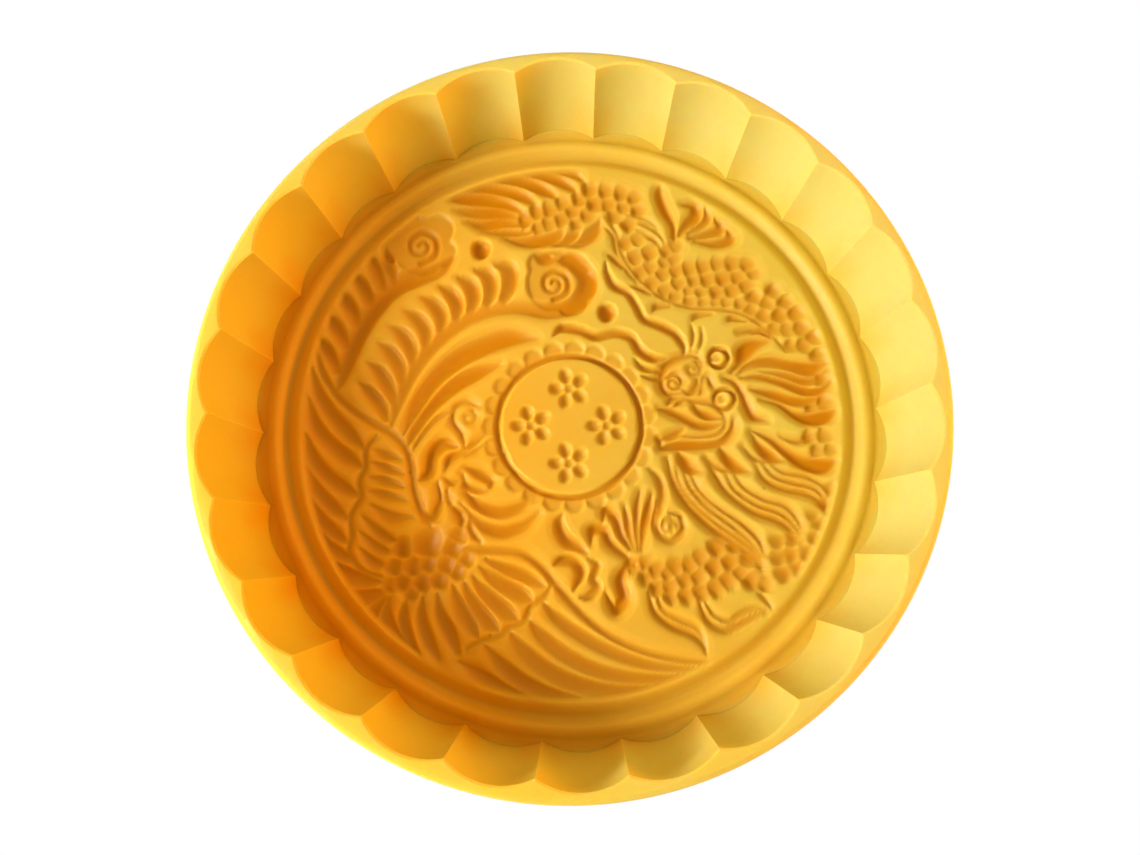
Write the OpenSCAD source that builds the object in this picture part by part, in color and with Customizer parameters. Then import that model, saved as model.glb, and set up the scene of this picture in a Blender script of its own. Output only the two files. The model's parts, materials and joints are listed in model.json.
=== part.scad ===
// Round one-piece mould: a fluted cup with a carved floor.
// The carving is cut into the floor as gouge strokes and scale pits.
// Underside centre at the origin, cavity opening up along +Z.

/* [Cup] */
// Outer diameter over the rim
rim_d = 200; // [160:1:260]
// Overall height from the underside to the rim
mould_h = 42; // [38:1:70]
// Depth from the rim down to the carved floor
cavity_h = 31.5; // [20:0.5:34]
// How much narrower the underside is than the rim, per side
outer_draft = 3; // [0:0.5:8]
// Radius of the rolled outer edge of the rim
rim_roll = 4; // [1:0.5:6]
// Radius of the outer edge of the underside
foot_roll = 2.5; // [0.5:0.5:4]

/* [Flutes] */
// Number of flutes round the inside wall
flute_n = 26; // [12:1:40]
// Width of the rim from its outer edge to the sharp edges between flutes
rim_land = 6.7; // [4:0.1:20]
// How far each flute bows outward past its two edges
flute_bow = 3.7; // [1:0.1:4.5]
// How much the edges lean in from the rim to the foot of the wall
wall_draft = 2.2; // [0:0.1:5]
// Eased top edge of the flutes
lip_ease = 0.8; // [0.3:0.1:1.5]

/* [Floor] */
// Depth of the bays under the carved floor
bay_drop = 1; // [0.2:0.1:3]
// Outer radius of the bead ring, from the wall's foot
bead_gap = 1; // [0.4:0.1:3]
// Width of the bead ring
bead_w = 5; // [2:0.5:7]
// Height of the bead ring over the bays
bead_h = 1.3; // [0.5:0.1:3]
// Width of the hollow inside the bead
cove_w = 4.7; // [2:0.1:8]
// Depth of the hollow under the carved floor
cove_h = 2.2; // [0.5:0.1:3]

/* [Carving] */
// Deepest cut of the gouge strokes
gouge_h = 2.8; // [1:0.1:4]
// Depth of a scale pit against its radius
pit_ratio = 0.62; // [0.3:0.01:0.9]
// Bare margin between the carving and the edge of its disc
art_margin = 1; // [0.5:0.5:12]

/* [Medallion] */
// Inner radius of the ring groove
ring_r = 20.3; // [16:0.1:20.5]
// Width of the ring groove
ring_w = 1.9; // [1:0.1:2.2]
// Number of lobes round the ring
lobe_n = 23; // [12:1:30]
// Number of petals in each small blossom
petal_n = 5; // [4:1:8]

/* [Hidden] */
slack = 0.5;
rim_r = rim_d / 2;
cusp_r = rim_r - rim_land;
floor_z = mould_h - cavity_h;
bay_z = floor_z - bay_drop;
half_step = 180 / flute_n;
half_chord = cusp_r * sin(half_step);
flute_r = (pow(half_chord, 2) + pow(flute_bow, 2)) / (2 * flute_bow);
flute_mid = cusp_r * cos(half_step) + flute_bow - flute_r;
flute_turn = 2.2;
foot_half = flute_mid * sin(half_step);
foot_r = flute_mid * cos(half_step) + sqrt(pow(flute_r - wall_draft, 2) - pow(foot_half, 2));
bead_r = foot_r - bead_gap;
cove_r = bead_r - bead_w;
disc_r = cove_r - cove_w;
step_z = floor_z + bead_h + slack / 2;
art_span = 2 * (disc_r - art_margin);
lift = 0.3;
ring_fn = 52;
stroke_pace = 10;
medal_y = -1.6;

// Points of an arc about [x, y], from angle a to angle b
function arc(x, y, r, a, b, n) = [
  for (i = [0:n]) [x + r * cos(a + (b - a) * i / n), y + r * sin(a + (b - a) * i / n)]
];

// Half section of the plain cup before it is hollowed
function cup_section() = concat(
  [[0, 0]],
  arc(rim_r - outer_draft - foot_roll, foot_roll, foot_roll, -90, 0, 2),
  arc(rim_r - rim_roll, mould_h - rim_roll, rim_roll, 0, 90, 3),
  [[0, mould_h]]
);

// Half section of the air over the floor: shoulder, hollow and the bead's inner side
function cove_section() = concat(
  [[0, floor_z]],
  [
    for (i = [0:3])
      let (t = i / 3)
      [disc_r + (cove_w - 0.6) * t, floor_z - cove_h * (1 - cos(180 * t)) / 2]
  ],
  [
    for (i = [1:4])
      let (t = i / 4)
      [
        cove_r + bead_w * t,
        bay_z - max(0, 1 - 2 * t) * (cove_h - bay_drop) + bead_h * sin(180 * t)
      ]
  ],
  [[bead_r, floor_z + bead_h + slack], [0, floor_z + bead_h + slack]]
);

// Smooth curve through a row of points, each [x, y, width]
function knot(p, i) = p[min(max(i, 0), len(p) - 1)];
function blend(p, i, t) = let (
    a = knot(p, i - 1), b = knot(p, i), c = knot(p, i + 1), d = knot(p, i + 2)
  )
  b + 0.5 * t * (c - a + t * (2 * a - 5 * b + 4 * c - d + t * (3 * b - a - 3 * c + d)));
function reach(p, i = 1) =
  i >= len(p) ? 0 : norm([p[i].x - p[i - 1].x, p[i].y - p[i - 1].y]) + reach(p, i + 1);
function curve(p, pace) = let (n = max(2, ceil(len(p) / 2), round(reach(p) / pace))) [
  for (k = [0:n])
    let (u = k * (len(p) - 1) / n, i = min(floor(u), len(p) - 2))
    blend(p, i, u - i)
];
function widest(p) = max([for (q = p) q[2]]);

// One gouge stroke: a keel-shaped cutter swept along its curve
module gouge(depth, lean, row, pace = stroke_pace) {
  p = [for (q = curve(row, pace)) [q.x, q.y, max(q[2], 0.4)]];
  n = len(p);
  w = widest(p);
  keel = min(depth, gouge_h, w * 0.8);
  stations = [
    for (i = [0:n - 1])
      let (
        a = p[max(i - 1, 0)],
        b = p[min(i + 1, n - 1)],
        s = norm([b.x - a.x, b.y - a.y]),
        side = [-(b.y - a.y) / s, (b.x - a.x) / s],
        h = keel * pow(p[i][2] / w, 0.6),
        top = (p[i][2] / 2) * (h + lift) / h
      )
      [
        [p[i].x + side.x * top, p[i].y + side.y * top, floor_z + lift],
        [
          p[i].x + side.x * lean * p[i][2] / 2,
          p[i].y + side.y * lean * p[i][2] / 2,
          floor_z - h
        ],
        [p[i].x - side.x * top, p[i].y - side.y * top, floor_z + lift]
      ]
  ];
  polyhedron(
    points = [for (s = stations) each s],
    faces = concat(
      [[2, 1, 0], [3 * n - 3, 3 * n - 2, 3 * n - 1]],
      [
        for (i = [0:n - 2], j = [0:2])
          let (a = 3 * i + j, b = 3 * i + (j + 1) % 3)
          each [[a, b, a + 3], [b, b + 3, a + 3]]
      ]
    )
  );
}

// A set of strokes, each row [depth, lean, points ...]
module strokes(rows) {
  for (r = rows) gouge(r[0], r[1], [for (i = [2:len(r) - 1]) r[i]]);
}

// One scale pit: a five-sided point that leans towards the given bearing
module pit(x, y, r, bearing) {
  size = r;
  h = min(gouge_h, size * pit_ratio);
  rise = size * lift / (2 * h);
  polyhedron(
    points = concat(
      [
        for (i = [0:4])
          [
            x + (size + rise) * cos(bearing + 72 * i),
            y + (size + rise) * sin(bearing + 72 * i),
            floor_z + lift / 2
          ]
      ],
      [
        [
          x + size * 0.35 * cos(bearing),
          y + size * 0.35 * sin(bearing),
          floor_z - h
        ]
      ]
    ),
    faces = concat(
      [[4, 3, 2, 1, 0]],
      [for (i = [0:4]) [i, (i + 1) % 5, 5]]
    )
  );
}

// A set of pits, each row [x, y, radius], all leaning one way
module pits(rows, bearing) {
  for (q = rows) pit(q.x, q.y, q[2], bearing);
}

// Points of a curl that opens from radius a to radius b
function curl(x, y, a, b, from, sweep, w) = let (n = ceil(abs(sweep) / 60)) [
  for (i = [0:n])
    let (r = a + (b - a) * i / n, turn = from + sweep * i / n)
    [x + r * cos(turn), y + r * sin(turn), w * (0.6 + 0.4 * i / n)]
];

// Fins of the dragon's tail, at the upper left
module tail_fins() {
  strokes([
    [2.4, 0.3, [-39, 70.8, 0.6], [-33, 70.2, 3], [-26, 69.6, 4], [-19, 68, 3.4], [-14.5, 65.8, 1.2]],
    [2.2, 0.3, [-35, 66.6, 0.8], [-29, 65.6, 3.4], [-21.8, 65.2, 4.2], [-16, 64, 2]],
    [2.2, 0.3, [-31.5, 62.6, 0.8], [-26, 61.6, 3.2], [-20.4, 62.2, 3.2], [-13.5, 61.6, 1.4]],
    [2, 0.3, [-27, 59.4, 0.6], [-20.6, 59.2, 2.2], [-15, 58.8, 2.2], [-10.6, 59.4, 1]],
    [2.2, 0.3, [-38, 72.8, 0.6], [-30, 73.6, 2.4], [-21, 72.8, 3.2], [-14, 70.8, 3], [-10.5, 68.6, 1]],
    [2.2, 0.3, [-30, 75.8, 0.6], [-22, 76.6, 2.2], [-14, 75.6, 3.2], [-8, 73.2, 3.2], [-4, 70.6, 1]],
    [2, 0.3, [-18, 78.4, 0.6], [-11, 78.2, 2.2], [-4, 76.4, 3], [0, 74.2, 2.4], [2, 72.4, 0.8]],
    [1.6, 0.3, [-8, 79.4, 0.6], [-3, 79, 1.8], [2, 77.8, 2], [4.6, 75.6, 0.8]],
    [2.2, -0.3, [-20.5, 57.4, 0.6], [-15, 56.4, 2.8], [-9, 56.6, 3.8], [-4, 58, 3.2], [-2, 60, 1]],
    [2, -0.3, [-7, 55, 0.6], [-2.5, 56, 2.4], [1, 58, 2.8], [3, 60, 1]],
    [2, -0.3, [-1.5, 54.8, 0.6], [3.5, 56, 2.8], [7.5, 59, 3.4], [9.4, 62.8, 1]]
  ]);
}

// Scales along the tail and down the back to the hind leg
module tail_scales() {
  pits([
    [-13, 63.5, 2.6], [-9.4, 65.8, 2.5], [-9, 60.8, 2.2], [-5.4, 66.6, 2.6], [-5.8, 62.2, 2.4],
    [-1.6, 68.6, 2.4], [-1.8, 63.6, 2.5], [1.6, 66, 2.5], [3.6, 69.8, 2.4], [2.6, 62.2, 2.2],
    [6, 64.8, 2.4], [6.8, 73, 2.5], [8.4, 68.4, 2.7], [11.8, 72.4, 2.4], [12.6, 68.4, 2.4],
    [16.6, 71.6, 2.4], [17.2, 67.2, 2.2], [20.4, 70.4, 2.2], [21.6, 66, 2.3], [14.4, 64.2, 2.4]
  ], 190);
  pits([
    [18.6, 61.6, 2.4], [17.6, 56, 2.4], [21.2, 57, 2.2], [20.6, 51, 2.4], [25, 52.4, 2.4],
    [22, 46.4, 2.4], [25.2, 48, 2.2], [25.6, 43, 2.4], [29, 45.8, 2.3], [29.4, 40.6, 2.3],
    [33, 54.6, 2.1], [30.2, 53, 2.2], [32.4, 50.6, 2.1], [29.6, 49.2, 2], [33, 46.8, 2.3],
    [33.6, 42.6, 2.2]
  ], 215);
}

// Scaled thigh and the row of plates along the belly
module thigh() {
  pits([
    [37.2, 47.2, 2.4], [41.4, 47.8, 2.4], [45.6, 48.6, 2.2], [50.2, 48.6, 2.4], [54.6, 48.4, 2.3],
    [38.4, 43.4, 2.2], [42.6, 43.8, 2.5], [47.4, 44, 2.6], [51.8, 44.4, 2.4], [56.4, 45.4, 2],
    [36.6, 40.2, 1.8], [40.4, 39.8, 2], [45.2, 39.8, 2.4], [49.8, 40.4, 2.4], [54.2, 42, 2.4]
  ], 195);
  pits([
    [32.6, 38.4, 2.2], [36.8, 36.6, 2.1], [41, 36.4, 1.9], [44.6, 36.2, 1.6], [48, 36.4, 1.9],
    [52.2, 35.8, 2]
  ], 180);
}

// Scales down the right side of the body
module side_scales() {
  pits([
    [56.2, 37.6, 2.4], [62, 39.4, 2.3], [60.2, 35.8, 2.2], [65.6, 36, 2.4], [55.4, 33.8, 2.2],
    [59, 31.8, 2.3], [64, 31.8, 2.6], [68.6, 32.4, 2.5], [62, 27.6, 2.2], [65.8, 27.6, 2.2],
    [70, 28, 2.4], [73.4, 25, 2.3], [66.6, 22.4, 2], [70.6, 22.6, 2.3], [74.4, 19.6, 2.2]
  ], 140);
  pits([
    [75.4, 12.4, 2.1], [72, 4, 2], [76, 5.4, 2.3], [71, -5, 2.1], [75.4, -4.8, 2.2],
    [73, -9, 2], [76.8, -8.8, 1.9]
  ], 170);
}

// Spine line with its back spikes
module spine() {
  strokes([
    [1.6, 0.2, [11, 64, 0.8], [14.4, 59, 1.6], [15.8, 53, 1.7], [19, 47, 1.7], [24, 41.4, 1.7],
      [30, 37, 1.6], [38, 34.6, 1.5], [47, 34, 1.5], [54, 31.8, 1.6], [60, 27, 1.5], [65, 20.6, 0.8]],
    [1.8, 0, [10.6, 61, 0.6], [13.4, 57.6, 1.6], [14.6, 52, 1.3], [18, 45.8, 1.3], [22.4, 41, 0.7]],
    [2, -0.3, [11.8, 51.6, 0.6], [13.6, 50.4, 2.2], [16.4, 47.6, 1.4]],
    [2, -0.3, [18.4, 41.4, 0.6], [21, 41.2, 2], [24.6, 39.2, 1.2]],
    [2, -0.3, [25, 33.6, 0.6], [26.6, 35.2, 2.2], [30.4, 35.4, 1.2]],
    [1.8, -0.3, [37.2, 30.6, 0.6], [38.6, 32.2, 2], [43, 32.8, 1.2]],
    [1.8, -0.3, [47.6, 30.2, 0.6], [49, 31.4, 2], [53, 30.6, 1.2]],
    [1.6, -0.3, [55, 26.4, 0.6], [57.4, 27.4, 1.8], [60.4, 25.4, 1]]
  ]);
}

// Fine hairs behind the hind leg
module leg_hairs() {
  strokes([
    [1.2, 0.4, [17, 64.6, 0.6], [21, 63.8, 1.4], [25, 62, 1.4], [27.6, 59.4, 0.6]],
    [1.2, 0.4, [19, 62.2, 0.6], [23, 61.2, 1.4], [27, 58.6, 1.4], [29, 55.6, 0.6]],
    [1.4, 0.4, [20, 60, 0.6], [23.4, 58, 1.6], [26.8, 55.4, 1.6], [28.2, 52.6, 0.6]]
  ]);
}

// Hind foot: five hooked claws spread from the ankle
module hind_foot() {
  strokes([
    [2.4, 0.3, [28.4, 74.4, 0.6], [27.8, 71, 2.4], [29.4, 66, 2.6], [31.6, 61.4, 2], [32, 57.4, 1.6]],
    [2.2, 0, [35, 68, 0.6], [38.4, 67.4, 2.4], [39, 64, 3.2], [36.4, 61.4, 2.4], [33.8, 58.2, 1.4]],
    [2, 0, [42, 66.4, 0.6], [42.6, 63.4, 2.2], [40, 60.8, 2], [36.6, 58.8, 1]],
    [2, 0, [44.8, 63, 0.6], [46.6, 60, 2.4], [43, 58.4, 2.2], [37, 57, 1]],
    [2, 0, [48.4, 59.8, 0.6], [49.6, 56.6, 2.6], [45, 55.2, 2.4], [38.6, 56, 0.9]]
  ]);
}

// Two long whiskers and the flame curls in front of the nose
module whiskers() {
  strokes([
    [2.2, 0.2, [11, 49.4, 0.6], [11.4, 45.6, 2], [13.4, 41.6, 2.6], [17.4, 39.4, 2.4],
      [20, 35.4, 2.4], [22.4, 31, 2.4], [27, 29, 2.6], [31.6, 26.4, 2.6], [34, 22.6, 2], [34.4, 20, 0.8]],
    [2.2, 0.2, [-4.8, 26, 0.6], [-2, 28.2, 2.6], [3, 27.6, 2.6], [8, 25.6, 2.6], [14, 26.6, 2.6],
      [18.4, 25.2, 2.6], [21, 21.2, 2.6], [25, 18.8, 2.4], [29, 19, 0.8]],
    [2, 0.2, [19.4, 18.6, 0.6], [21.4, 16.2, 2], [25, 15, 1.8], [28.4, 15, 0.6]],
    [1.6, 0.2, [21.6, 13.4, 0.8], [25, 12.6, 1.8], [27.6, 13, 0.6]],
    [1.8, 0, [36.4, 29.6, 0.6], [37.2, 26, 1.6], [36.4, 21.2, 0.6]],
    [1.8, 0, [39.6, 28.4, 0.6], [39.8, 24.4, 1.5], [38.4, 20.4, 0.6]]
  ]);
}

// Round groove of an eye
module eye_ring(x, y, r) {
  translate([x, y, floor_z])
    rotate_extrude($fn = 10)
      polygon([[r - 0.6, lift], [r, -gouge_h * 0.4], [r + 0.6, lift]]);
}

// Head: muzzle, curled nostrils, eyes, jaws, tongue and brow
module head() {
  strokes([
    [2, 0.2, [33.4, 8.2, 0.6], [29, 8.4, 1.8], [27.4, 12, 2], [29, 16.4, 2], [32.6, 18.8, 1.6],
      [37, 19.8, 1], [39.6, 17.4, 0.8], [39, 14, 0.6]],
    concat([2, 0.3], curl(31.2, 11.4, 0.7, 3, 20, 480, 1.5)),
    concat([1.4, 0.3], curl(37, 15.6, 0.6, 2.4, 0, 420, 1.1)),
    [1.8, 0.2, [33.6, 9.4, 0.6], [35.6, 8.2, 1.6], [38, 10, 1.6], [38.2, 13, 0.6]],
    [1.8, 0, [32.6, 7.2, 0.6], [37, 5.8, 1.4], [42, 5, 1.2], [45.4, 2, 1.1], [46, -1.6, 1.1],
      [43.4, -4.2, 1.1], [38, -5, 1.1], [33, -4.6, 0.6]],
    [1.8, 0, [36.6, 5.2, 0.6], [38.4, 2.6, 2.2], [41.4, 1.2, 2.4], [44.8, 0.6, 0.8]],
    [2, 0.3, [26.6, 3.4, 0.8], [30, 2.6, 2], [34, 0.6, 2.2], [38, -1.4, 2.2], [42, -1.8, 1.8],
      [45, -1, 0.6]],
    [2, 0, [29, 4.4, 0.5], [30.4, 6.4, 1.8], [32.6, 7, 1]],
    [1.8, 0, [31.2, 4.2, 0.5], [32.8, 5.4, 1.6], [34.8, 6.6, 0.8]],
    [1.8, 0.3, [27, -5.6, 1], [31, -4.6, 2], [33.8, -2.6, 0.7]],
    [2, 0.2, [27, -8.4, 1.4], [33, -7.6, 2.6], [40, -7.4, 2.2], [45, -6.4, 2], [48, -3, 1.6],
      [48.4, 0.4, 0.6]],
    [1.8, 0, [38.8, 7.6, 0.5], [39.4, 10, 1.4], [40.2, 13.4, 0.6]],
    [1.8, 0, [41, 14, 0.5], [42, 11.4, 1.5], [43.2, 9.6, 0.6]],
    [2.4, 0.2, [46, 12.8, 0.6], [49, 11.4, 1.6], [51.2, 8, 2], [52.6, 4, 2.2], [54.4, 1, 2.2],
      [58, 0, 0.8]]
  ]);
  pits([[43.8, 19, 1.5], [44.9, 6.5, 1.6]], 180);
  eye_ring(44.7, 18.9, 2.8);
  eye_ring(46, 6.4, 3);
}

// Horn, and the four flame locks of the mane
module mane() {
  strokes([
    [2.4, 0.2, [48.4, 14.6, 0.8], [50.8, 17.2, 2], [52.4, 20.4, 4], [55.4, 22.8, 3], [60, 24.2, 0.6]],
    [1.6, 0, [51, 26.8, 0.5], [55, 27.4, 1.4], [60, 26.6, 0.6]],
    [2.2, 0.5, [50.4, 14, 0.6], [54.4, 16.8, 2], [60, 17.6, 2.8], [66, 16.4, 3], [72, 15, 4],
      [76.6, 17.2, 0.8]],
    [1.8, 0.3, [57, 14.8, 0.6], [64, 13.6, 2], [70, 11.6, 2.6], [74.4, 12.6, 1.6], [77, 15.4, 0.6]],
    [2.2, 0.5, [51, 12.8, 0.6], [57, 13, 1.6], [63, 11.4, 2], [70, 8.6, 2.6], [75, 8.8, 2], [78, 11.4, 0.6]],
    [2, 0.3, [54, 9.4, 0.6], [60, 7.8, 2.4], [66, 5.8, 2.8], [71, 5.6, 2.2], [74.4, 7, 0.8]],
    [2.4, -0.2, [57, 6.2, 0.6], [62, 4.8, 1.6], [66.4, 1.8, 2.2], [70.6, 0.4, 3.2], [75.4, 1, 3.4],
      [79, 3, 0.8]],
    [1.6, -0.2, [62, -5, 0.6], [66.6, -6.4, 1.4], [70.6, -5.6, 0.6]],
    [2.4, -0.2, [53.6, -3, 0.6], [59, -5.6, 1.8], [63.6, -9.4, 2.6], [68.4, -12.6, 3.4],
      [74, -13.6, 3.8], [78.4, -12, 0.8]]
  ]);
}

// Tufts along the cheek
module cheek() {
  strokes([
    [2.2, 0.3, [53.4, -3.8, 0.6], [55.8, -8, 2.6], [59, -11, 3.2], [63, -12.4, 0.6]],
    [1.8, 0, [51, -8, 0.6], [54, -11.2, 1.6], [58, -12.6, 0.8]],
    [2.2, 0.3, [43.8, -7.6, 0.6], [45.8, -11, 2.8], [48.6, -14, 3.2], [52.8, -15.2, 0.6]],
    [1.8, 0, [40, -10.6, 0.6], [43, -13.8, 1.8], [47.4, -15.4, 0.8]],
    [2.2, 0.3, [31.6, -9.4, 0.6], [33.6, -12.4, 3.2], [35.6, -14.6, 3], [38.6, -15, 0.6]]
  ]);
}

// Beard: three locks, each a fan of parallel strokes
module beard() {
  strokes([
    [2.2, 0.2, [28.6, -11, 0.8], [30.4, -18.6, 1.8], [34.6, -25.4, 2], [41, -31.6, 2],
      [48, -36.4, 2], [53, -40.4, 1.8], [55.6, -45, 0.6]],
    [2, 0.2, [31, -14, 0.6], [32.8, -20, 1.6], [37.4, -26, 1.7], [44, -31.4, 1.7],
      [50, -35.8, 1.7], [54, -40, 1.4], [55.8, -44, 0.6]],
    [1.8, 0.2, [33.4, -15.4, 0.6], [35.6, -20.6, 1.5], [40.4, -26, 1.6], [47, -31, 1.6],
      [52.4, -36, 1.5], [55, -40, 1], [55.9, -43, 0.5]],
    [1.6, 0.2, [35.4, -16, 0.6], [38, -21, 1.3], [43, -25.6, 1.4], [49.6, -30.2, 1.5],
      [54.4, -35, 1.5], [56, -39.6, 0.8]],
    [2.2, 0.2, [39.8, -11.2, 0.6], [43, -17, 1.8], [46.4, -21.8, 1.8], [53, -26.8, 1.8],
      [60, -29.4, 1.8], [64, -32.4, 1.5], [66.6, -36, 0.6]],
    [1.8, 0.2, [45.6, -15.6, 0.6], [48.2, -20.6, 1.5], [54.4, -25, 1.6], [61, -27.4, 1.6],
      [65, -31, 1.3], [66.8, -35, 0.6]],
    [1.6, 0.2, [48, -15.8, 0.6], [51, -20, 1.3], [57, -23.6, 1.4], [62.6, -25.4, 1.4],
      [66, -29.6, 1.2], [67, -33, 0.6]],
    [2, 0.2, [54.2, -12.6, 0.6], [57, -17.6, 1.6], [62.4, -20.4, 1.7], [69, -21.8, 1.7],
      [73, -24.6, 1.3], [75, -29, 0.6]],
    [1.6, 0.2, [56.6, -13, 0.6], [60, -16.8, 1.4], [66, -18.8, 1.5], [71.6, -20.4, 1.4],
      [75, -25, 0.7]],
    [1.4, 0.2, [58.8, -12.8, 0.6], [62.6, -15.6, 1.2], [68.6, -16.6, 1.3], [73.6, -19.4, 1.2],
      [76, -24, 0.6]]
  ]);
}
// Scales of the body under the beard
module belly_scales() {
  pits([
    [28.6, -44, 2.4], [31, -42.4, 2.6], [35, -41.8, 2.6], [38.2, -39.8, 2.4], [29.2, -47.8, 2.5],
    [33.6, -46, 2.5], [37.4, -45, 2.6], [42, -42.2, 2.8], [29.2, -50.8, 2.2], [33.8, -50.4, 2.5],
    [38, -49.2, 2.6], [42.2, -48.2, 2.6], [45.8, -46, 2.6], [43, -37, 2.8], [46.6, -40.8, 2.8],
    [47.6, -36.8, 2.3], [49.4, -43.8, 2.5], [51.4, -40.4, 2.4], [52.2, -46.2, 2.6], [56, -47.2, 2.2]
  ], 225);
  pits([
    [59.6, -40, 2.3], [60.8, -44.6, 2.4], [63, -39.4, 2.4], [64.6, -43, 2.2], [59.6, -35.4, 2.2],
    [63.4, -35, 2.1], [68, -39, 2.4], [70.6, -34.6, 2.1], [72, -30.4, 2], [70.4, -28, 1.8],
    [73.4, -24.6, 1.9], [75.8, -20, 1.8]
  ], -20);
}

// Fore leg and its claws
module fore_foot() {
  pits([
    [18.8, -42, 2.4], [22.6, -41.6, 2.2], [22.4, -45.6, 2.3], [25.6, -43.4, 2.6], [25.6, -48.4, 2.5]
  ], 200);
  strokes([
    [2.4, 0, [6.2, -36.4, 0.6], [6.6, -32.6, 2.6], [9.8, -32.2, 2.4], [12, -36, 2.4], [16.6, -39.8, 1.6]],
    [2.2, 0, [9.6, -30, 0.6], [10.6, -26.6, 2.2], [13.4, -29, 2.4], [15, -33.6, 2.2], [17.6, -37.8, 1.2]],
    [2.2, 0, [16, -25.6, 0.6], [16.8, -29, 2], [17.4, -33, 2], [18.6, -37.6, 1]],
    [2, 0, [20.6, -21, 0.6], [19.6, -26, 1.8], [19.6, -32, 1.8], [19.8, -37.8, 0.9]],
    [2.2, 0, [24, -21.4, 0.6], [22.8, -27, 2.4], [21.6, -32, 2.2], [20.8, -37.8, 1]],
    [2.4, 0, [16.6, -42.6, 1.4], [14.6, -46.6, 2.6], [15.6, -51.6, 3], [13.6, -54.8, 2.8],
      [11.8, -53, 1.8], [10.2, -49.8, 0.5]]
  ]);
}

// Flame fins under the belly
module flames() {
  strokes([
    [2.2, -0.2, [22.6, -50, 0.8], [24.4, -55.4, 2], [29.2, -59.2, 2.2], [34.6, -61.4, 2.2],
      [37.6, -64, 1.6], [38.6, -67, 0.6]],
    [2, -0.2, [24.8, -50.6, 0.6], [27, -55, 1.8], [32, -57.8, 2], [36.4, -60, 1.8], [38.8, -65, 0.7]],
    [2, -0.2, [36.8, -52.4, 0.8], [39.4, -57.8, 2], [44.4, -60.2, 2], [50, -57.8, 2],
      [54.6, -55.8, 1.2], [58.4, -56.8, 0.5]],
    [1.8, -0.2, [38.6, -52.6, 0.6], [41.4, -56.2, 1.6], [45.6, -57.8, 1.6], [50, -55.2, 1.8],
      [54, -54.2, 1.2], [57, -55.4, 0.5]],
    [1.8, 0, [53.4, -50, 0.6], [55.6, -51.6, 1.6], [58.2, -55.6, 0.5]]
  ]);
}

// Small clouds and pearls scattered in the field
module clouds() {
  strokes([
    [2.4, 0.3, [-4.4, -42.4, 0.6], [-2, -41, 2.4], [1.4, -41.4, 2.8], [3.2, -44.6, 2.8], [1.2, -49.4, 0.8]],
    [1.8, 0.3, [5.4, -40.4, 0.6], [8, -42.4, 2], [6.8, -46, 2], [8, -48.4, 2.2], [6, -51, 2.2], [3, -51.4, 0.6]],
    [2.4, 0.2, [-2, -27.6, 0.6], [-3, -31, 2.8], [-1, -35, 3.4], [2.6, -37, 2.6], [5, -38.8, 1]],
    [2.2, 0.2, [23, -14, 0.6], [26, -17.4, 2.2], [27, -21.6, 2.4], [26.2, -25.6, 2.4],
      [24.8, -29.6, 2.2], [26.2, -33.8, 2], [30, -35.2, 2], [33, -32, 1.8], [32, -28, 1.6], [29, -27.4, 0.8]],
    concat([2, 0.3], curl(28.8, -31.4, 0.6, 2.4, 60, -400, 1.6)),
    [1.8, 0, [25.2, -4, 0.6], [26.2, -6, 2], [27, -9, 0.6]]
  ]);
  pits([[11.4, 33, 2.9], [-27, 53.4, 3.1]], 190);
}

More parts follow.
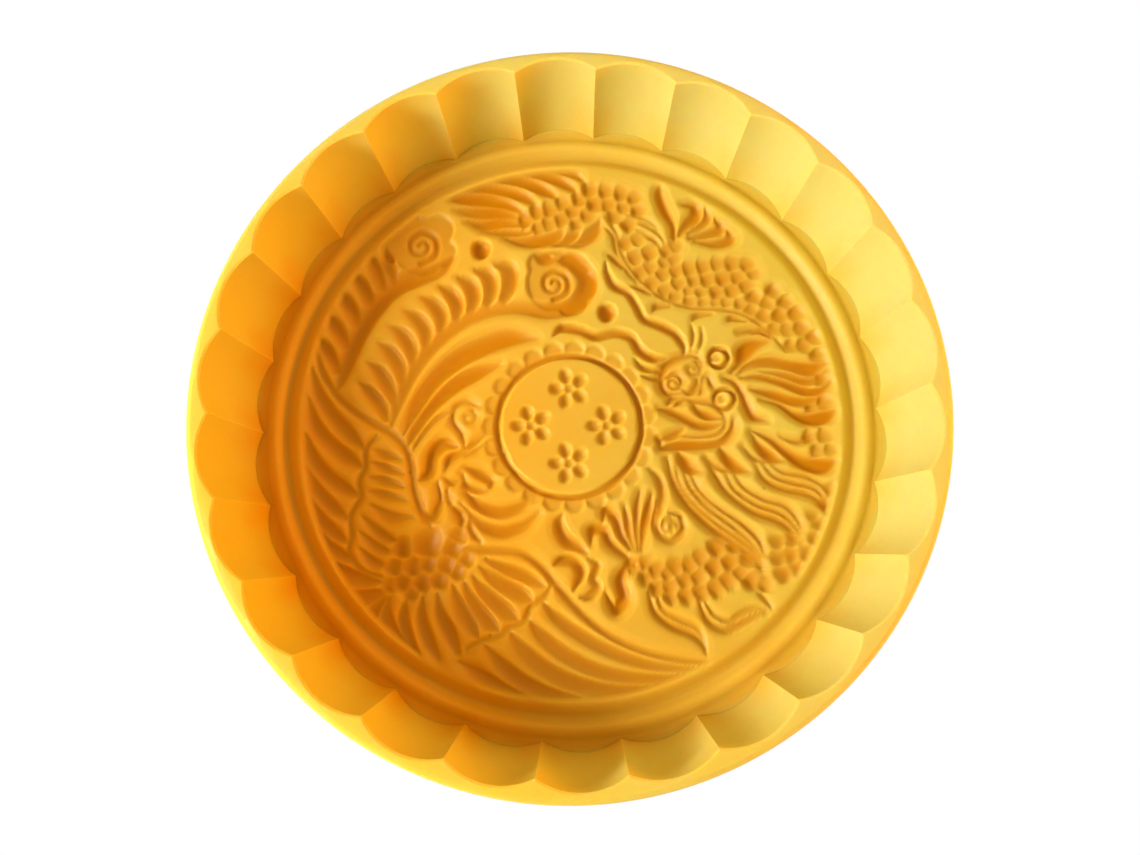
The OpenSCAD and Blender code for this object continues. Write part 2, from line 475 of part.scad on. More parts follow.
// The two curled tail plumes of the phoenix, each with a fan of barbs
module plumes() {
  strokes([
    concat([2.6, -0.4], curl(-45.6, 55, 0.8, 3.4, 150, -420, 2.4)),
    concat([2.6, 0.5], curl(-45.6, 55.4, 9.4, 6.6, -50, 300, 4)),
    [2.4, 0.4, [-36, 51, 1.2], [-39.6, 47.4, 3.2], [-46, 45, 4], [-52, 42.6, 4.4], [-57, 38, 4.4],
      [-62, 31, 4.4], [-66, 22, 4], [-68.4, 14, 3], [-69.4, 9.4, 0.8]],
    [2.2, 0.3, [-56.6, 53.6, 0.8], [-56, 50, 3], [-54.4, 44, 3]],
    [2.2, 0.3, [-62.6, 51.6, 0.8], [-60, 48, 3.2], [-57.4, 41, 3]],
    [2.2, 0.3, [-67.6, 45.6, 0.8], [-64, 42.4, 3.2], [-60.6, 35.6, 3]],
    [2.2, 0.3, [-71.4, 39.6, 0.8], [-68, 36.6, 3.2], [-64.6, 30, 3]],
    [2.2, 0.3, [-74.4, 32.4, 0.8], [-71.4, 29.4, 3.2], [-67.6, 23, 3]],
    [2.2, 0.3, [-76.6, 25.4, 0.8], [-73.6, 22, 3], [-70, 15.6, 2.6]],
    concat([2.6, -0.4], curl(-4.6, 42.6, 1, 3.2, 150, -400, 2.2)),
    concat([2.6, 0.5], curl(-5, 43.2, 8.2, 5.8, -60, 290, 3.4)),
    [2.2, 0.3, [-10.4, 51.4, 0.8], [-7.8, 50.4, 2.6], [-4, 51.4, 2.4], [-1.2, 50.4, 2.8], [1.6, 49.2, 3.4],
      [5.4, 44.8, 4], [5, 39.6, 4], [1, 35.4, 3.6], [-6.2, 34, 3.6], [-13, 35, 3.2], [-20, 35, 3],
      [-26.8, 33.4, 3.2], [-34, 29.6, 3.4], [-41, 23.2, 3.4], [-46.6, 15.6, 3.2], [-50.6, 7, 2.8],
      [-53, -2.4, 0.8]],
    [2.2, 0.3, [-22.6, 48.6, 0.8], [-18.6, 47.4, 3.2], [-18, 42.6, 3.4], [-20, 37, 2]],
    [2.2, 0.3, [-28.8, 46.8, 0.8], [-25, 45.4, 3], [-23.8, 41, 3.2], [-25, 35.8, 2]],
    [2.2, 0.3, [-34, 44.4, 0.8], [-30.6, 42.6, 3], [-29, 38.6, 3.2], [-30, 33.6, 2]],
    [2.2, 0.3, [-39.4, 41.6, 0.8], [-36, 39.4, 2.8], [-34, 35.6, 3], [-34.4, 31.6, 2]],
    [2.2, 0.3, [-44.8, 38.2, 0.8], [-41, 36, 2.8], [-38.8, 32.4, 3], [-38.8, 28, 2]],
    [2.2, 0.3, [-49.6, 34, 0.8], [-46, 31.4, 2.8], [-43.4, 27.8, 3], [-43.2, 23.4, 2]],
    [2.2, 0.3, [-54, 29, 0.8], [-50.4, 26.4, 2.8], [-47.8, 22.4, 3], [-47, 18, 2]],
    [2.2, 0.3, [-57.6, 23.6, 0.8], [-54, 21, 2.8], [-51, 16.6, 3], [-50, 12, 2]],
    [2.2, 0.3, [-60.6, 17.6, 0.8], [-57, 14.8, 2.8], [-54, 10.2, 3], [-52.2, 5.6, 2]],
    [2.2, 0.3, [-63, 11.4, 0.8], [-59.6, 8.4, 2.8], [-56, 4.4, 2.8], [-54.4, 0.6, 1.6]]
  ]);
}

// Long neck hackles, crest curl, head, beak and wattle of the phoenix
module neck() {
  strokes([
    [2.6, 0.3, [-9.6, 25.4, 0.8], [-17, 25.6, 4], [-25, 23.2, 4.6], [-33, 19, 4.6], [-40, 12.6, 4],
      [-45.4, 4.4, 3.4], [-49, -4, 0.8]],
    [2.6, 0.3, [-20.6, 17.2, 0.8], [-27, 14.8, 3.4], [-34, 11, 4], [-40.6, 5, 3.6], [-45.4, -2, 2.8],
      [-48, -8, 0.8]],
    [2, 0.3, [-34.4, 3.2, 0.6], [-39.6, 0.6, 1.8], [-43.4, -4, 1.8], [-46.6, -9.6, 0.6]],
    [2, 0, [-27, 4.4, 0.6], [-30.6, 5.8, 1.4], [-33.8, 3.8, 1.5], [-34.4, 0, 1.5], [-31.8, -4, 1.5],
      [-31, -8, 0.8]],
    concat([1.6, 0], curl(-29.6, 1, 0.8, 2.2, 90, 330, 1)),
    [2.6, 0.2, [-44, -17.8, 0.8], [-41, -15.4, 3], [-40, -10.4, 3.4], [-37, -7, 3.2], [-33, -7.8, 1]],
    [2, 0.3, [-36.4, -14.8, 0.6], [-35, -11.6, 2.4], [-31.8, -9.8, 1.6], [-29, -9, 0.6]],
    [1.6, 0, [-32, -9, 0.6], [-28.6, -7.4, 1.6], [-25, -4.6, 0.6]],
    [1.6, 0, [-30.6, -10.6, 0.6], [-27.6, -8.8, 1.4], [-24.6, -7, 0.5]],
    [1.8, 0, [-36.6, -17, 0.6], [-34.4, -18.6, 1.8], [-31.6, -17.6, 0.6]],
    [1.8, 0, [-35.6, -19.6, 0.6], [-35.4, -23, 1.8], [-33.6, -26, 0.6]],
    [1.8, 0.2, [-30.4, -14, 0.6], [-26.6, -15.6, 2.6], [-22.8, -18, 2.2], [-23.6, -20.4, 0.8]],
    [1.8, 0.2, [-31.4, -16, 0.6], [-30, -19.4, 2.2], [-26.8, -20.6, 2], [-23.8, -20.8, 0.6]],
    [2.2, 0.2, [-31, -20.6, 0.6], [-26.4, -25, 2.8], [-20, -27, 3.2], [-14, -25.6, 2.4], [-10.6, -22.4, 0.6]],
    [2.2, 0.2, [-31.6, -24.6, 0.6], [-26, -30.4, 2.8], [-19, -32.6, 3.2], [-13, -31, 2.4], [-8.8, -27.6, 0.6]],
    [2, 0, [-38.6, -18, 0.6], [-37.6, -24, 2], [-40, -28.6, 2.4], [-44, -26, 0.8]],
    [2, 0, [-34.4, -25, 0.8], [-31.4, -28.4, 2.6], [-31.6, -32.6, 0.8]],
    [1.8, 0, [-28.8, -27, 0.6], [-28.4, -32, 2.2], [-25, -36.4, 0.6]]
  ]);
}

// Left wing: leading edge, covert bars and long flight feathers
module left_wing() {
  strokes([
    [1.8, 0, [-76.8, 24, 0.8], [-74.6, 16, 1.8], [-70.6, 9, 1.8], [-65.4, 3.8, 1.8], [-59, -0.4, 1.8],
      [-53, -3.4, 1.8], [-48.6, -7.6, 1.8], [-46.4, -13, 1.8], [-45.4, -19.6, 1.8],
      [-43, -26.6, 1.8], [-39.4, -32.6, 0.8]],
    [1.6, 0, [-57, -4.4, 0.8], [-60, -8.6, 1.5], [-60, -13.6, 1.5], [-61.6, -18, 1.5], [-61, -22.6, 1.5],
      [-63.6, -28, 1.5], [-63, -33.6, 1.5], [-63.6, -38.6, 1.5], [-60, -43.6, 1.5], [-54, -45.6, 0.8]],
    [1.6, 0.4, [-57.6, -8.6, 0.8], [-54, -10.4, 2.4], [-49.4, -11.6, 0.8]],
    [1.6, 0.4, [-58, -12.6, 0.8], [-54, -14.2, 2.4], [-49, -15.8, 0.8]],
    [1.6, 0.4, [-58.4, -17, 0.8], [-54, -18, 2.4], [-48.6, -19.8, 0.8]],
    [1.6, 0.4, [-58.6, -21, 0.8], [-54, -22.2, 2.4], [-47.8, -23.6, 0.8]],
    [1.6, 0.4, [-58, -25, 0.8], [-52, -28.6, 2.8], [-45.4, -28.6, 0.8]],
    [1.6, 0.4, [-60, -28.6, 0.8], [-55, -33.6, 2.8], [-48.6, -36.4, 0.8]],
    [1.6, 0.4, [-60.6, -33, 0.8], [-56.4, -37, 2.6], [-51, -39, 0.8]],
    [1.6, 0.4, [-60.6, -37.6, 0.8], [-57, -41.4, 2.6], [-52.4, -42.8, 0.8]],
    [2, 0.4, [-77.4, 16, 0.8], [-75, 8, 3], [-70.6, 1.4, 3.6], [-65.6, -4, 3.6], [-60.8, -8.4, 1.2]],
    [2, 0.4, [-78, 7, 0.8], [-75.6, -1.4, 3.4], [-71.4, -6.6, 3.6], [-66, -11, 3.6], [-61, -14, 1.2]],
    [2, 0.4, [-78.2, -4, 0.8], [-75.4, -12, 3.4], [-71, -17, 3.6], [-66, -20.4, 3.2], [-62, -22.4, 1.2]],
    [2, 0.4, [-77.4, -14, 0.8], [-74, -21, 3.4], [-69.6, -25.6, 3.4], [-65, -29, 1.2]],
    [2, 0.4, [-75.8, -23, 0.8], [-72.4, -29.4, 3.2], [-68, -33.6, 3], [-64.4, -36, 1]],
    [2, 0.4, [-74, -31, 0.8], [-70.4, -36.6, 3], [-66, -39.6, 2.8], [-62.4, -41.4, 1]],
    [2.2, 0.4, [-70, -40.4, 0.8], [-67, -44, 3.6], [-61.4, -46.4, 3.6], [-54, -47.4, 1]],
    [2, 0.4, [-64, -50, 0.8], [-60, -52, 4], [-55.4, -51, 3], [-52.6, -49.4, 1]],
    [2, 0, [-56.2, -58.8, 0.8], [-56, -55.6, 3.2], [-53, -51.6, 1.2]]
  ]);
}

// Round scales of the phoenix body
module breast() {
  pits([
    [-40.6, -35.6, 4], [-33.2, -37, 2.9], [-48.2, -37, 2.8], [-45, -42.4, 2.8], [-40.6, -41.4, 2.8],
    [-35, -41.6, 2.9], [-50.4, -42.6, 2.5], [-48, -46.8, 2.7], [-42.4, -46.6, 2.8], [-37.2, -45.8, 2.8],
    [-32, -43.4, 2.6], [-51.6, -47.6, 2.2], [-45.4, -49.8, 2.2], [-31.6, -33.4, 2.4], [-29, -40.4, 2.3]
  ], 250);
}

// Right wing: leading edge, covert fan and feathers sweeping to the tip
module right_wing() {
  strokes([
    [2, 0, [-37, -38.4, 0.8], [-29, -37.8, 1.9], [-20, -38, 1.9], [-13.4, -38.8, 1.9], [-8, -42.6, 1.9],
      [-3.6, -47.8, 1.9], [1.6, -53.6, 1.9], [8, -59.4, 1.9], [15.6, -64, 1.8], [24, -67, 1.7],
      [33, -68.8, 1.5], [41.6, -69.2, 0.7]],
    [1.8, 0, [-4.8, -47.4, 0.8], [-7, -51.4, 1.5], [-10.6, -53.6, 1.5], [-12.6, -57.6, 1.5],
      [-17, -59.8, 1.5], [-20, -62, 1.5], [-25, -63.4, 1.5], [-29, -65.6, 1]],
    [2.2, 0.4, [-24, -40.6, 0.8], [-18, -43.6, 3], [-12, -45.8, 3], [-7.4, -48, 1]],
    [2.2, 0.4, [-25.6, -42.8, 0.8], [-20, -47.4, 3.4], [-14, -50.4, 3.4], [-10.6, -52.4, 1]],
    [2.2, 0.4, [-27.6, -45.6, 0.8], [-23.4, -51, 3.4], [-18.4, -55, 3.4], [-14.4, -58, 1]],
    [2.2, 0.4, [-30, -47.4, 0.8], [-27.4, -53.4, 3.4], [-23.4, -58, 3.4], [-20, -61, 1]],
    [2.2, 0.4, [-33.4, -48, 0.8], [-31.4, -54, 3.2], [-28.4, -59, 3.2], [-26, -62.6, 1]],
    [2, 0.4, [-7.4, -53, 0.8], [-3, -57.4, 2.6], [4, -62.2, 2.8], [12, -66.4, 2.6], [21, -69.6, 2.2],
      [30, -71, 1.6], [38, -71, 0.7]],
    [2, 0.4, [-11.4, -57.8, 0.8], [-7, -62.6, 3], [0, -67.8, 3.2], [8, -71.6, 3.2], [17, -73.6, 2.8],
      [26, -73.8, 2], [35, -72.6, 0.7]],
    [2, 0.4, [-17, -61, 0.8], [-12.4, -66.6, 3.2], [-5.6, -71.8, 3.4], [2.6, -75.4, 3.4], [11, -77, 2.8],
      [20, -76.8, 2], [29, -75.4, 0.7]],
    [2, 0.4, [-24, -64.6, 0.8], [-19, -70.4, 3.2], [-12.6, -75, 3.2], [-4.6, -78, 2.4], [3, -78.8, 0.8]],
    [1.8, 0.4, [-31, -69.4, 0.8], [-25, -73, 2.8], [-18.6, -76.6, 2.6], [-12, -78.6, 0.8]],
    [2, 0.3, [-51.6, -51.4, 0.8], [-52.4, -57, 3.2], [-49.4, -62.6, 3.4], [-45, -66.6, 1.6]],
    [2, 0.3, [-46.8, -52, 0.8], [-47.4, -58, 2.8], [-45.4, -63.6, 2.6], [-42.4, -67.6, 1]],
    [2, 0.3, [-42, -51.4, 0.8], [-42.2, -57.6, 2.8], [-40, -63.6, 3], [-36.8, -68.6, 1.2]],
    [2, 0.3, [-37.8, -50.6, 0.8], [-36.8, -56.4, 2.8], [-34, -61.6, 3.2], [-31.6, -66.6, 1.6]]
  ]);
}

// Round medallion: ring groove, lobes, and four small blossoms
module medallion() {
  translate([0, medal_y, floor_z])
    rotate_extrude($fn = 48)
      polygon([
        [(ring_r - 0.2), lift],
        [(ring_r + ring_w / 2), -gouge_h * 0.65],
        [(ring_r + ring_w + 0.2), lift]
      ]);
  for (i = [0:lobe_n - 1]) {
    a = 360 / lobe_n * (i + 0.5);
    r = ring_r + ring_w + 1.6;
    pit(r * cos(a), medal_y + r * sin(a), 2.6, a);
  }
  for (side = [0:3]) {
    x = 11.2 * cos(90 * side);
    y = medal_y + 11.2 * sin(90 * side);
    pit(x, y, 1.5, 180);
    for (i = [0:petal_n - 1]) {
      a = 360 / petal_n * (i + 0.5);
      pit(x + 3.9 * cos(a), y + 3.9 * sin(a), 1.9, a);
    }
  }
}

// Everything that is cut into the floor
module carving() {
  tail_fins();
  tail_scales();
  thigh();
  side_scales();
  spine();
  leg_hairs();
  hind_foot();
  whiskers();
  head();
  mane();
  cheek();
  beard();
  belly_scales();
  fore_foot();
  flames();
  clouds();
  plumes();
  neck();
  left_wing();
  breast();
  right_wing();
  medallion();
}

// One flute: a round-sided wedge of air, hulled from the foot up to the lip
module flute() {
  hull() {
    translate([flute_mid, 0, bay_z])
      cylinder(r = flute_r - wall_draft, h = slack, $fn = 20);
    translate([flute_mid, 0, mould_h - lip_ease])
      cylinder(r = flute_r, h = slack / 10, $fn = 20);
  }
  hull() {
    translate([flute_mid, 0, mould_h - lip_ease])
      cylinder(r = flute_r, h = slack / 10, $fn = 20);
    translate([flute_mid, 0, mould_h + slack])
      cylinder(r = flute_r + lip_ease + slack, h = slack / 10, $fn = 20);
  }
}

// Hollow of the cup: the ring of flutes round an open middle
module hollow() {
  difference() {
    for (k = [0:flute_n - 1])
      rotate([0, 0, flute_turn + 360 / flute_n * (k + 0.5)]) flute();
    cylinder(r = bead_r - slack / 10, h = step_z, $fn = ring_fn);
  }
  translate([0, 0, step_z])
    cylinder(r = flute_mid, h = cavity_h, $fn = flute_n);
}

// The finished mould
module mold() {
  color([0.93, 0.6, 0.12])
    difference() {
      rotate_extrude($fn = ring_fn) polygon(cup_section());
      hollow();
      rotate_extrude($fn = ring_fn) polygon(cove_section());
      resize([art_span, 0, 0], auto = [true, true, false]) carving();
    }
}

mold();
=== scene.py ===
# %% [markdown]
# # A silicone mooncake mold, dressed over its CAD frame
# The real mold is one piece of cloudy amber silicone, so one closed mesh takes the place of
# the CAD solid. Its floor is a relief: every gouge stroke and scale pit below is a row of
# millimetres, read in the same frame as the part's source, and it lowers the vertices of
# the disc. A bump texture could fake it, but real depth holds its shadows from every side.

# %% Load the frame
import bpy
import bmesh
import json
import math
import numpy as np
from mathutils import Matrix, Vector

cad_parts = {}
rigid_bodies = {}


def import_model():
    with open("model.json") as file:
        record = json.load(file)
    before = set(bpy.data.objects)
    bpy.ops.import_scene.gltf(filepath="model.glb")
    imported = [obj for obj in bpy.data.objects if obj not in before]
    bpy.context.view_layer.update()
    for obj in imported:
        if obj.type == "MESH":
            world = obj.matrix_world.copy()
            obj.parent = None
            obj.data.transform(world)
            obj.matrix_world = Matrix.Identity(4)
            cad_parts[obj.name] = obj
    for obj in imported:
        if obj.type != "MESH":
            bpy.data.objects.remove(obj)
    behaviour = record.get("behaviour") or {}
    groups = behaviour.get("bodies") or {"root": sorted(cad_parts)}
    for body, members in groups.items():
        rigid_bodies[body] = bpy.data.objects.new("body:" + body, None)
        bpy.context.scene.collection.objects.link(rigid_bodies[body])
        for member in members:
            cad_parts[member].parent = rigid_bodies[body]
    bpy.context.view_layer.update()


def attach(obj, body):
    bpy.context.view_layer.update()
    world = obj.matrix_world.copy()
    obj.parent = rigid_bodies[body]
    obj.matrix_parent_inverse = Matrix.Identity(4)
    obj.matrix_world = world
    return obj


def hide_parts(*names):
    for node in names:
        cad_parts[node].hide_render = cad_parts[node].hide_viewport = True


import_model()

# %% [markdown]
# ## Sizes
# A mold like this comes down to a few sizes: the rim, the fluted wall, and the rings of the
# floor. They could be read off the CAD mesh, but named values are easier to follow. They are
# millimetres, z up from the flat underside, and they match the part's source.

# %% Sizes in millimetres
RIM_R, MOLD_H, FLOOR_Z = 100.0, 42.0, 10.5
BAY_DROP = 1.0
BAY_Z = FLOOR_Z - BAY_DROP
FLUTES, TURN = 26, 2.2
DISC_R, COVE_R, BEAD_R = 80.0, 84.7, 89.7
COVE_H, BEAD_H = 2.2, 1.3
print("rim", 2 * RIM_R, "mm wide, floor", FLOOR_Z, "mm thick,", FLUTES, "flutes")

# %% [markdown]
# ## How the drawing is written
# Each stroke of the gouge is [depth, lean, [x, y, width], ...], and lean moves its deepest
# line to one side. Each pit is [x, y, radius], and a set of pits leans towards one bearing.
# The strokes could be curves drawn in the editor. Rows of millimetres were chosen because
# they are measured from the photograph and put right one point at a time. Curls are
# strokes as well, and a small function works out their points.

# %% Points of a curl that opens from radius a to radius b
CURL_STEP = 60


def curl(x, y, a, b, start, sweep, w):
    n = math.ceil(abs(sweep) / CURL_STEP)
    rows = []
    for i in range(n + 1):
        r, t = a + (b - a) * i / n, math.radians(start + sweep * i / n)
        rows.append([x + r * math.cos(t), y + r * math.sin(t), w * (0.6 + 0.4 * i / n)])
    return rows


print("points in a curl of one turn:", len(curl(0, 0, 1, 3, 0, 360, 1)))

# %% [markdown]
# ## The dragon's tail
# On the mold the tail is a fan of long fins behind a patch of small scales. Each fin could
# be a swept curve, cut out with a Boolean, but hundreds of Booleans are slow and leave
# ragged faces. Points that lower the vertices of a grid are quick, and the mesh stays closed.

# %% Tail
# Fins, at the upper left
TAIL_FINS_CUTS = [
  [2.4, 0.3, [-39, 70.8, 0.6], [-33, 70.2, 3], [-26, 69.6, 4], [-19, 68, 3.4], [-14.5, 65.8, 1.2]],
  [2.2, 0.3, [-35, 66.6, 0.8], [-29, 65.6, 3.4], [-21.8, 65.2, 4.2], [-16, 64, 2]],
  [2.2, 0.3, [-31.5, 62.6, 0.8], [-26, 61.6, 3.2], [-20.4, 62.2, 3.2], [-13.5, 61.6, 1.4]],
  [2, 0.3, [-27, 59.4, 0.6], [-20.6, 59.2, 2.2], [-15, 58.8, 2.2], [-10.6, 59.4, 1]],
  [2.2, 0.3, [-38, 72.8, 0.6], [-30, 73.6, 2.4], [-21, 72.8, 3.2], [-14, 70.8, 3],
    [-10.5, 68.6, 1]],
  [2.2, 0.3, [-30, 75.8, 0.6], [-22, 76.6, 2.2], [-14, 75.6, 3.2], [-8, 73.2, 3.2], [-4, 70.6, 1]],
  [2, 0.3, [-18, 78.4, 0.6], [-11, 78.2, 2.2], [-4, 76.4, 3], [0, 74.2, 2.4], [2, 72.4, 0.8]],
  [1.6, 0.3, [-8, 79.4, 0.6], [-3, 79, 1.8], [2, 77.8, 2], [4.6, 75.6, 0.8]],
  [2.2, -0.3, [-20.5, 57.4, 0.6], [-15, 56.4, 2.8], [-9, 56.6, 3.8], [-4, 58, 3.2], [-2, 60, 1]],
  [2, -0.3, [-7, 55, 0.6], [-2.5, 56, 2.4], [1, 58, 2.8], [3, 60, 1]],
  [2, -0.3, [-1.5, 54.8, 0.6], [3.5, 56, 2.8], [7.5, 59, 3.4], [9.4, 62.8, 1]]
]

# Scales between the fins and the hind leg
TAIL_SCALES = ([
  [-13, 63.5, 2.6], [-9.4, 65.8, 2.5], [-9, 60.8, 2.2], [-5.4, 66.6, 2.6], [-5.8, 62.2, 2.4],
  [-1.6, 68.6, 2.4], [-1.8, 63.6, 2.5], [1.6, 66, 2.5], [3.6, 69.8, 2.4], [2.6, 62.2, 2.2],
  [6, 64.8, 2.4], [6.8, 73, 2.5], [8.4, 68.4, 2.7], [11.8, 72.4, 2.4], [12.6, 68.4, 2.4],
  [16.6, 71.6, 2.4], [17.2, 67.2, 2.2], [20.4, 70.4, 2.2], [21.6, 66, 2.3], [14.4, 64.2, 2.4]
], 190)
print("tail:", len(TAIL_FINS_CUTS), "strokes and", len(TAIL_SCALES[0]), "scales")

# %% [markdown]
# ## Scales of the dragon's body
# The scales lean the way the body bends. One scale copied along a curve would look cut by a
# machine, so every pit has a place and a radius of its own. The number at the end of each
# set is the bearing that all its pits lean towards.

# %% Scales of back, thigh, belly and side
# Down the back
BACK_SCALES = ([
  [18.6, 61.6, 2.4], [17.6, 56, 2.4], [21.2, 57, 2.2], [20.6, 51, 2.4], [25, 52.4, 2.4],
  [22, 46.4, 2.4], [25.2, 48, 2.2], [25.6, 43, 2.4], [29, 45.8, 2.3], [29.4, 40.6, 2.3],
  [33, 54.6, 2.1], [30.2, 53, 2.2], [32.4, 50.6, 2.1], [29.6, 49.2, 2], [33, 46.8, 2.3],
  [33.6, 42.6, 2.2]
], 215)

# On the thigh
THIGH_SCALES = ([
  [37.2, 47.2, 2.4], [41.4, 47.8, 2.4], [45.6, 48.6, 2.2], [50.2, 48.6, 2.4], [54.6, 48.4, 2.3],
  [38.4, 43.4, 2.2], [42.6, 43.8, 2.5], [47.4, 44, 2.6], [51.8, 44.4, 2.4], [56.4, 45.4, 2],
  [36.6, 40.2, 1.8], [40.4, 39.8, 2], [45.2, 39.8, 2.4], [49.8, 40.4, 2.4], [54.2, 42, 2.4]
], 195)

# A row of plates along the belly, below the thigh
BELLY_PLATES = ([
  [32.6, 38.4, 2.2], [36.8, 36.6, 2.1], [41, 36.4, 1.9], [44.6, 36.2, 1.6], [48, 36.4, 1.9],
  [52.2, 35.8, 2]
], 180)

# Down the right side of the body
SIDE_SCALES = ([
  [56.2, 37.6, 2.4], [62, 39.4, 2.3], [60.2, 35.8, 2.2], [65.6, 36, 2.4], [55.4, 33.8, 2.2],
  [59, 31.8, 2.3], [64, 31.8, 2.6], [68.6, 32.4, 2.5], [62, 27.6, 2.2], [65.8, 27.6, 2.2],
  [70, 28, 2.4], [73.4, 25, 2.3], [66.6, 22.4, 2], [70.6, 22.6, 2.3], [74.4, 19.6, 2.2]
], 140)

# Plates between the locks of the mane, at the far right
SIDE_PLATES = ([
  [75.4, 12.4, 2.1], [72, 4, 2], [76, 5.4, 2.3], [71, -5, 2.1], [75.4, -4.8, 2.2],
  [73, -9, 2], [76.8, -8.8, 1.9]
], 170)
body_sets = (BACK_SCALES, THIGH_SCALES, BELLY_PLATES, SIDE_SCALES, SIDE_PLATES)
print("body:", sum(len(g[0]) for g in body_sets), "scales")

# %% [markdown]
# ## Spine and hind foot
# A long line with short spikes follows the back, fine hairs stand behind the leg, and hooked
# claws spread from the ankle. The width changes from point to point, as a gouge's cut does
# when the hand presses and lifts. A curve with one bevel depth could not show that.

# %% Spine, hairs and claws
# Spine line with its spikes
SPINE_CUTS = [
  [1.6, 0.2, [11, 64, 0.8], [14.4, 59, 1.6], [15.8, 53, 1.7], [19, 47, 1.7], [24, 41.4, 1.7],
    [30, 37, 1.6], [38, 34.6, 1.5], [47, 34, 1.5], [54, 31.8, 1.6], [60, 27, 1.5], [65, 20.6, 0.8]],
  [1.8, 0, [10.6, 61, 0.6], [13.4, 57.6, 1.6], [14.6, 52, 1.3], [18, 45.8, 1.3], [22.4, 41, 0.7]],
  [2, -0.3, [11.8, 51.6, 0.6], [13.6, 50.4, 2.2], [16.4, 47.6, 1.4]],
  [2, -0.3, [18.4, 41.4, 0.6], [21, 41.2, 2], [24.6, 39.2, 1.2]],
  [2, -0.3, [25, 33.6, 0.6], [26.6, 35.2, 2.2], [30.4, 35.4, 1.2]],
  [1.8, -0.3, [37.2, 30.6, 0.6], [38.6, 32.2, 2], [43, 32.8, 1.2]],
  [1.8, -0.3, [47.6, 30.2, 0.6], [49, 31.4, 2], [53, 30.6, 1.2]],
  [1.6, -0.3, [55, 26.4, 0.6], [57.4, 27.4, 1.8], [60.4, 25.4, 1]]
]

# Fine hairs behind the hind leg
LEG_HAIRS_CUTS = [
  [1.2, 0.4, [17, 64.6, 0.6], [21, 63.8, 1.4], [25, 62, 1.4], [27.6, 59.4, 0.6]],
  [1.2, 0.4, [19, 62.2, 0.6], [23, 61.2, 1.4], [27, 58.6, 1.4], [29, 55.6, 0.6]],
  [1.4, 0.4, [20, 60, 0.6], [23.4, 58, 1.6], [26.8, 55.4, 1.6], [28.2, 52.6, 0.6]]
]

# Five claws of the hind foot
HIND_FOOT_CUTS = [
  [2.4, 0.3, [28.4, 74.4, 0.6], [27.8, 71, 2.4], [29.4, 66, 2.6], [31.6, 61.4, 2], [32, 57.4, 1.6]],
  [2.2, 0, [35, 68, 0.6], [38.4, 67.4, 2.4], [39, 64, 3.2], [36.4, 61.4, 2.4], [33.8, 58.2, 1.4]],
  [2, 0, [42, 66.4, 0.6], [42.6, 63.4, 2.2], [40, 60.8, 2], [36.6, 58.8, 1]],
  [2, 0, [44.8, 63, 0.6], [46.6, 60, 2.4], [43, 58.4, 2.2], [37, 57, 1]],
  [2, 0, [48.4, 59.8, 0.6], [49.6, 56.6, 2.6], [45, 55.2, 2.4], [38.6, 56, 0.9]]
]
print("spine and foot:", len(SPINE_CUTS) + len(LEG_HAIRS_CUTS) + len(HIND_FOOT_CUTS), "strokes")

# %% [markdown]
# ## The dragon's head
# Whiskers, nostrils, jaws, tongue, brow and eyes crowd together, so these strokes are the
# narrowest. Sculpting by hand is the usual way to make a face. Strokes were chosen here
# because they hold their sharp lips on an even grid. An eye is a round groove with a small
# flat hole for the pupil.

# %% Whiskers and head
# Two long whiskers and the flame curls in front of the nose
WHISKERS_CUTS = [
  [2.2, 0.2, [11, 49.4, 0.6], [11.4, 45.6, 2], [13.4, 41.6, 2.6], [17.4, 39.4, 2.4],
    [20, 35.4, 2.4], [22.4, 31, 2.4], [27, 29, 2.6], [31.6, 26.4, 2.6], [34, 22.6, 2],
    [34.4, 20, 0.8]],
  [2.2, 0.2, [-4.8, 26, 0.6], [-2, 28.2, 2.6], [3, 27.6, 2.6], [8, 25.6, 2.6], [14, 26.6, 2.6],
    [18.4, 25.2, 2.6], [21, 21.2, 2.6], [25, 18.8, 2.4], [29, 19, 0.8]],
  [2, 0.2, [19.4, 18.6, 0.6], [21.4, 16.2, 2], [25, 15, 1.8], [28.4, 15, 0.6]],
  [1.6, 0.2, [21.6, 13.4, 0.8], [25, 12.6, 1.8], [27.6, 13, 0.6]],
  [1.8, 0, [36.4, 29.6, 0.6], [37.2, 26, 1.6], [36.4, 21.2, 0.6]],
  [1.8, 0, [39.6, 28.4, 0.6], [39.8, 24.4, 1.5], [38.4, 20.4, 0.6]]
]

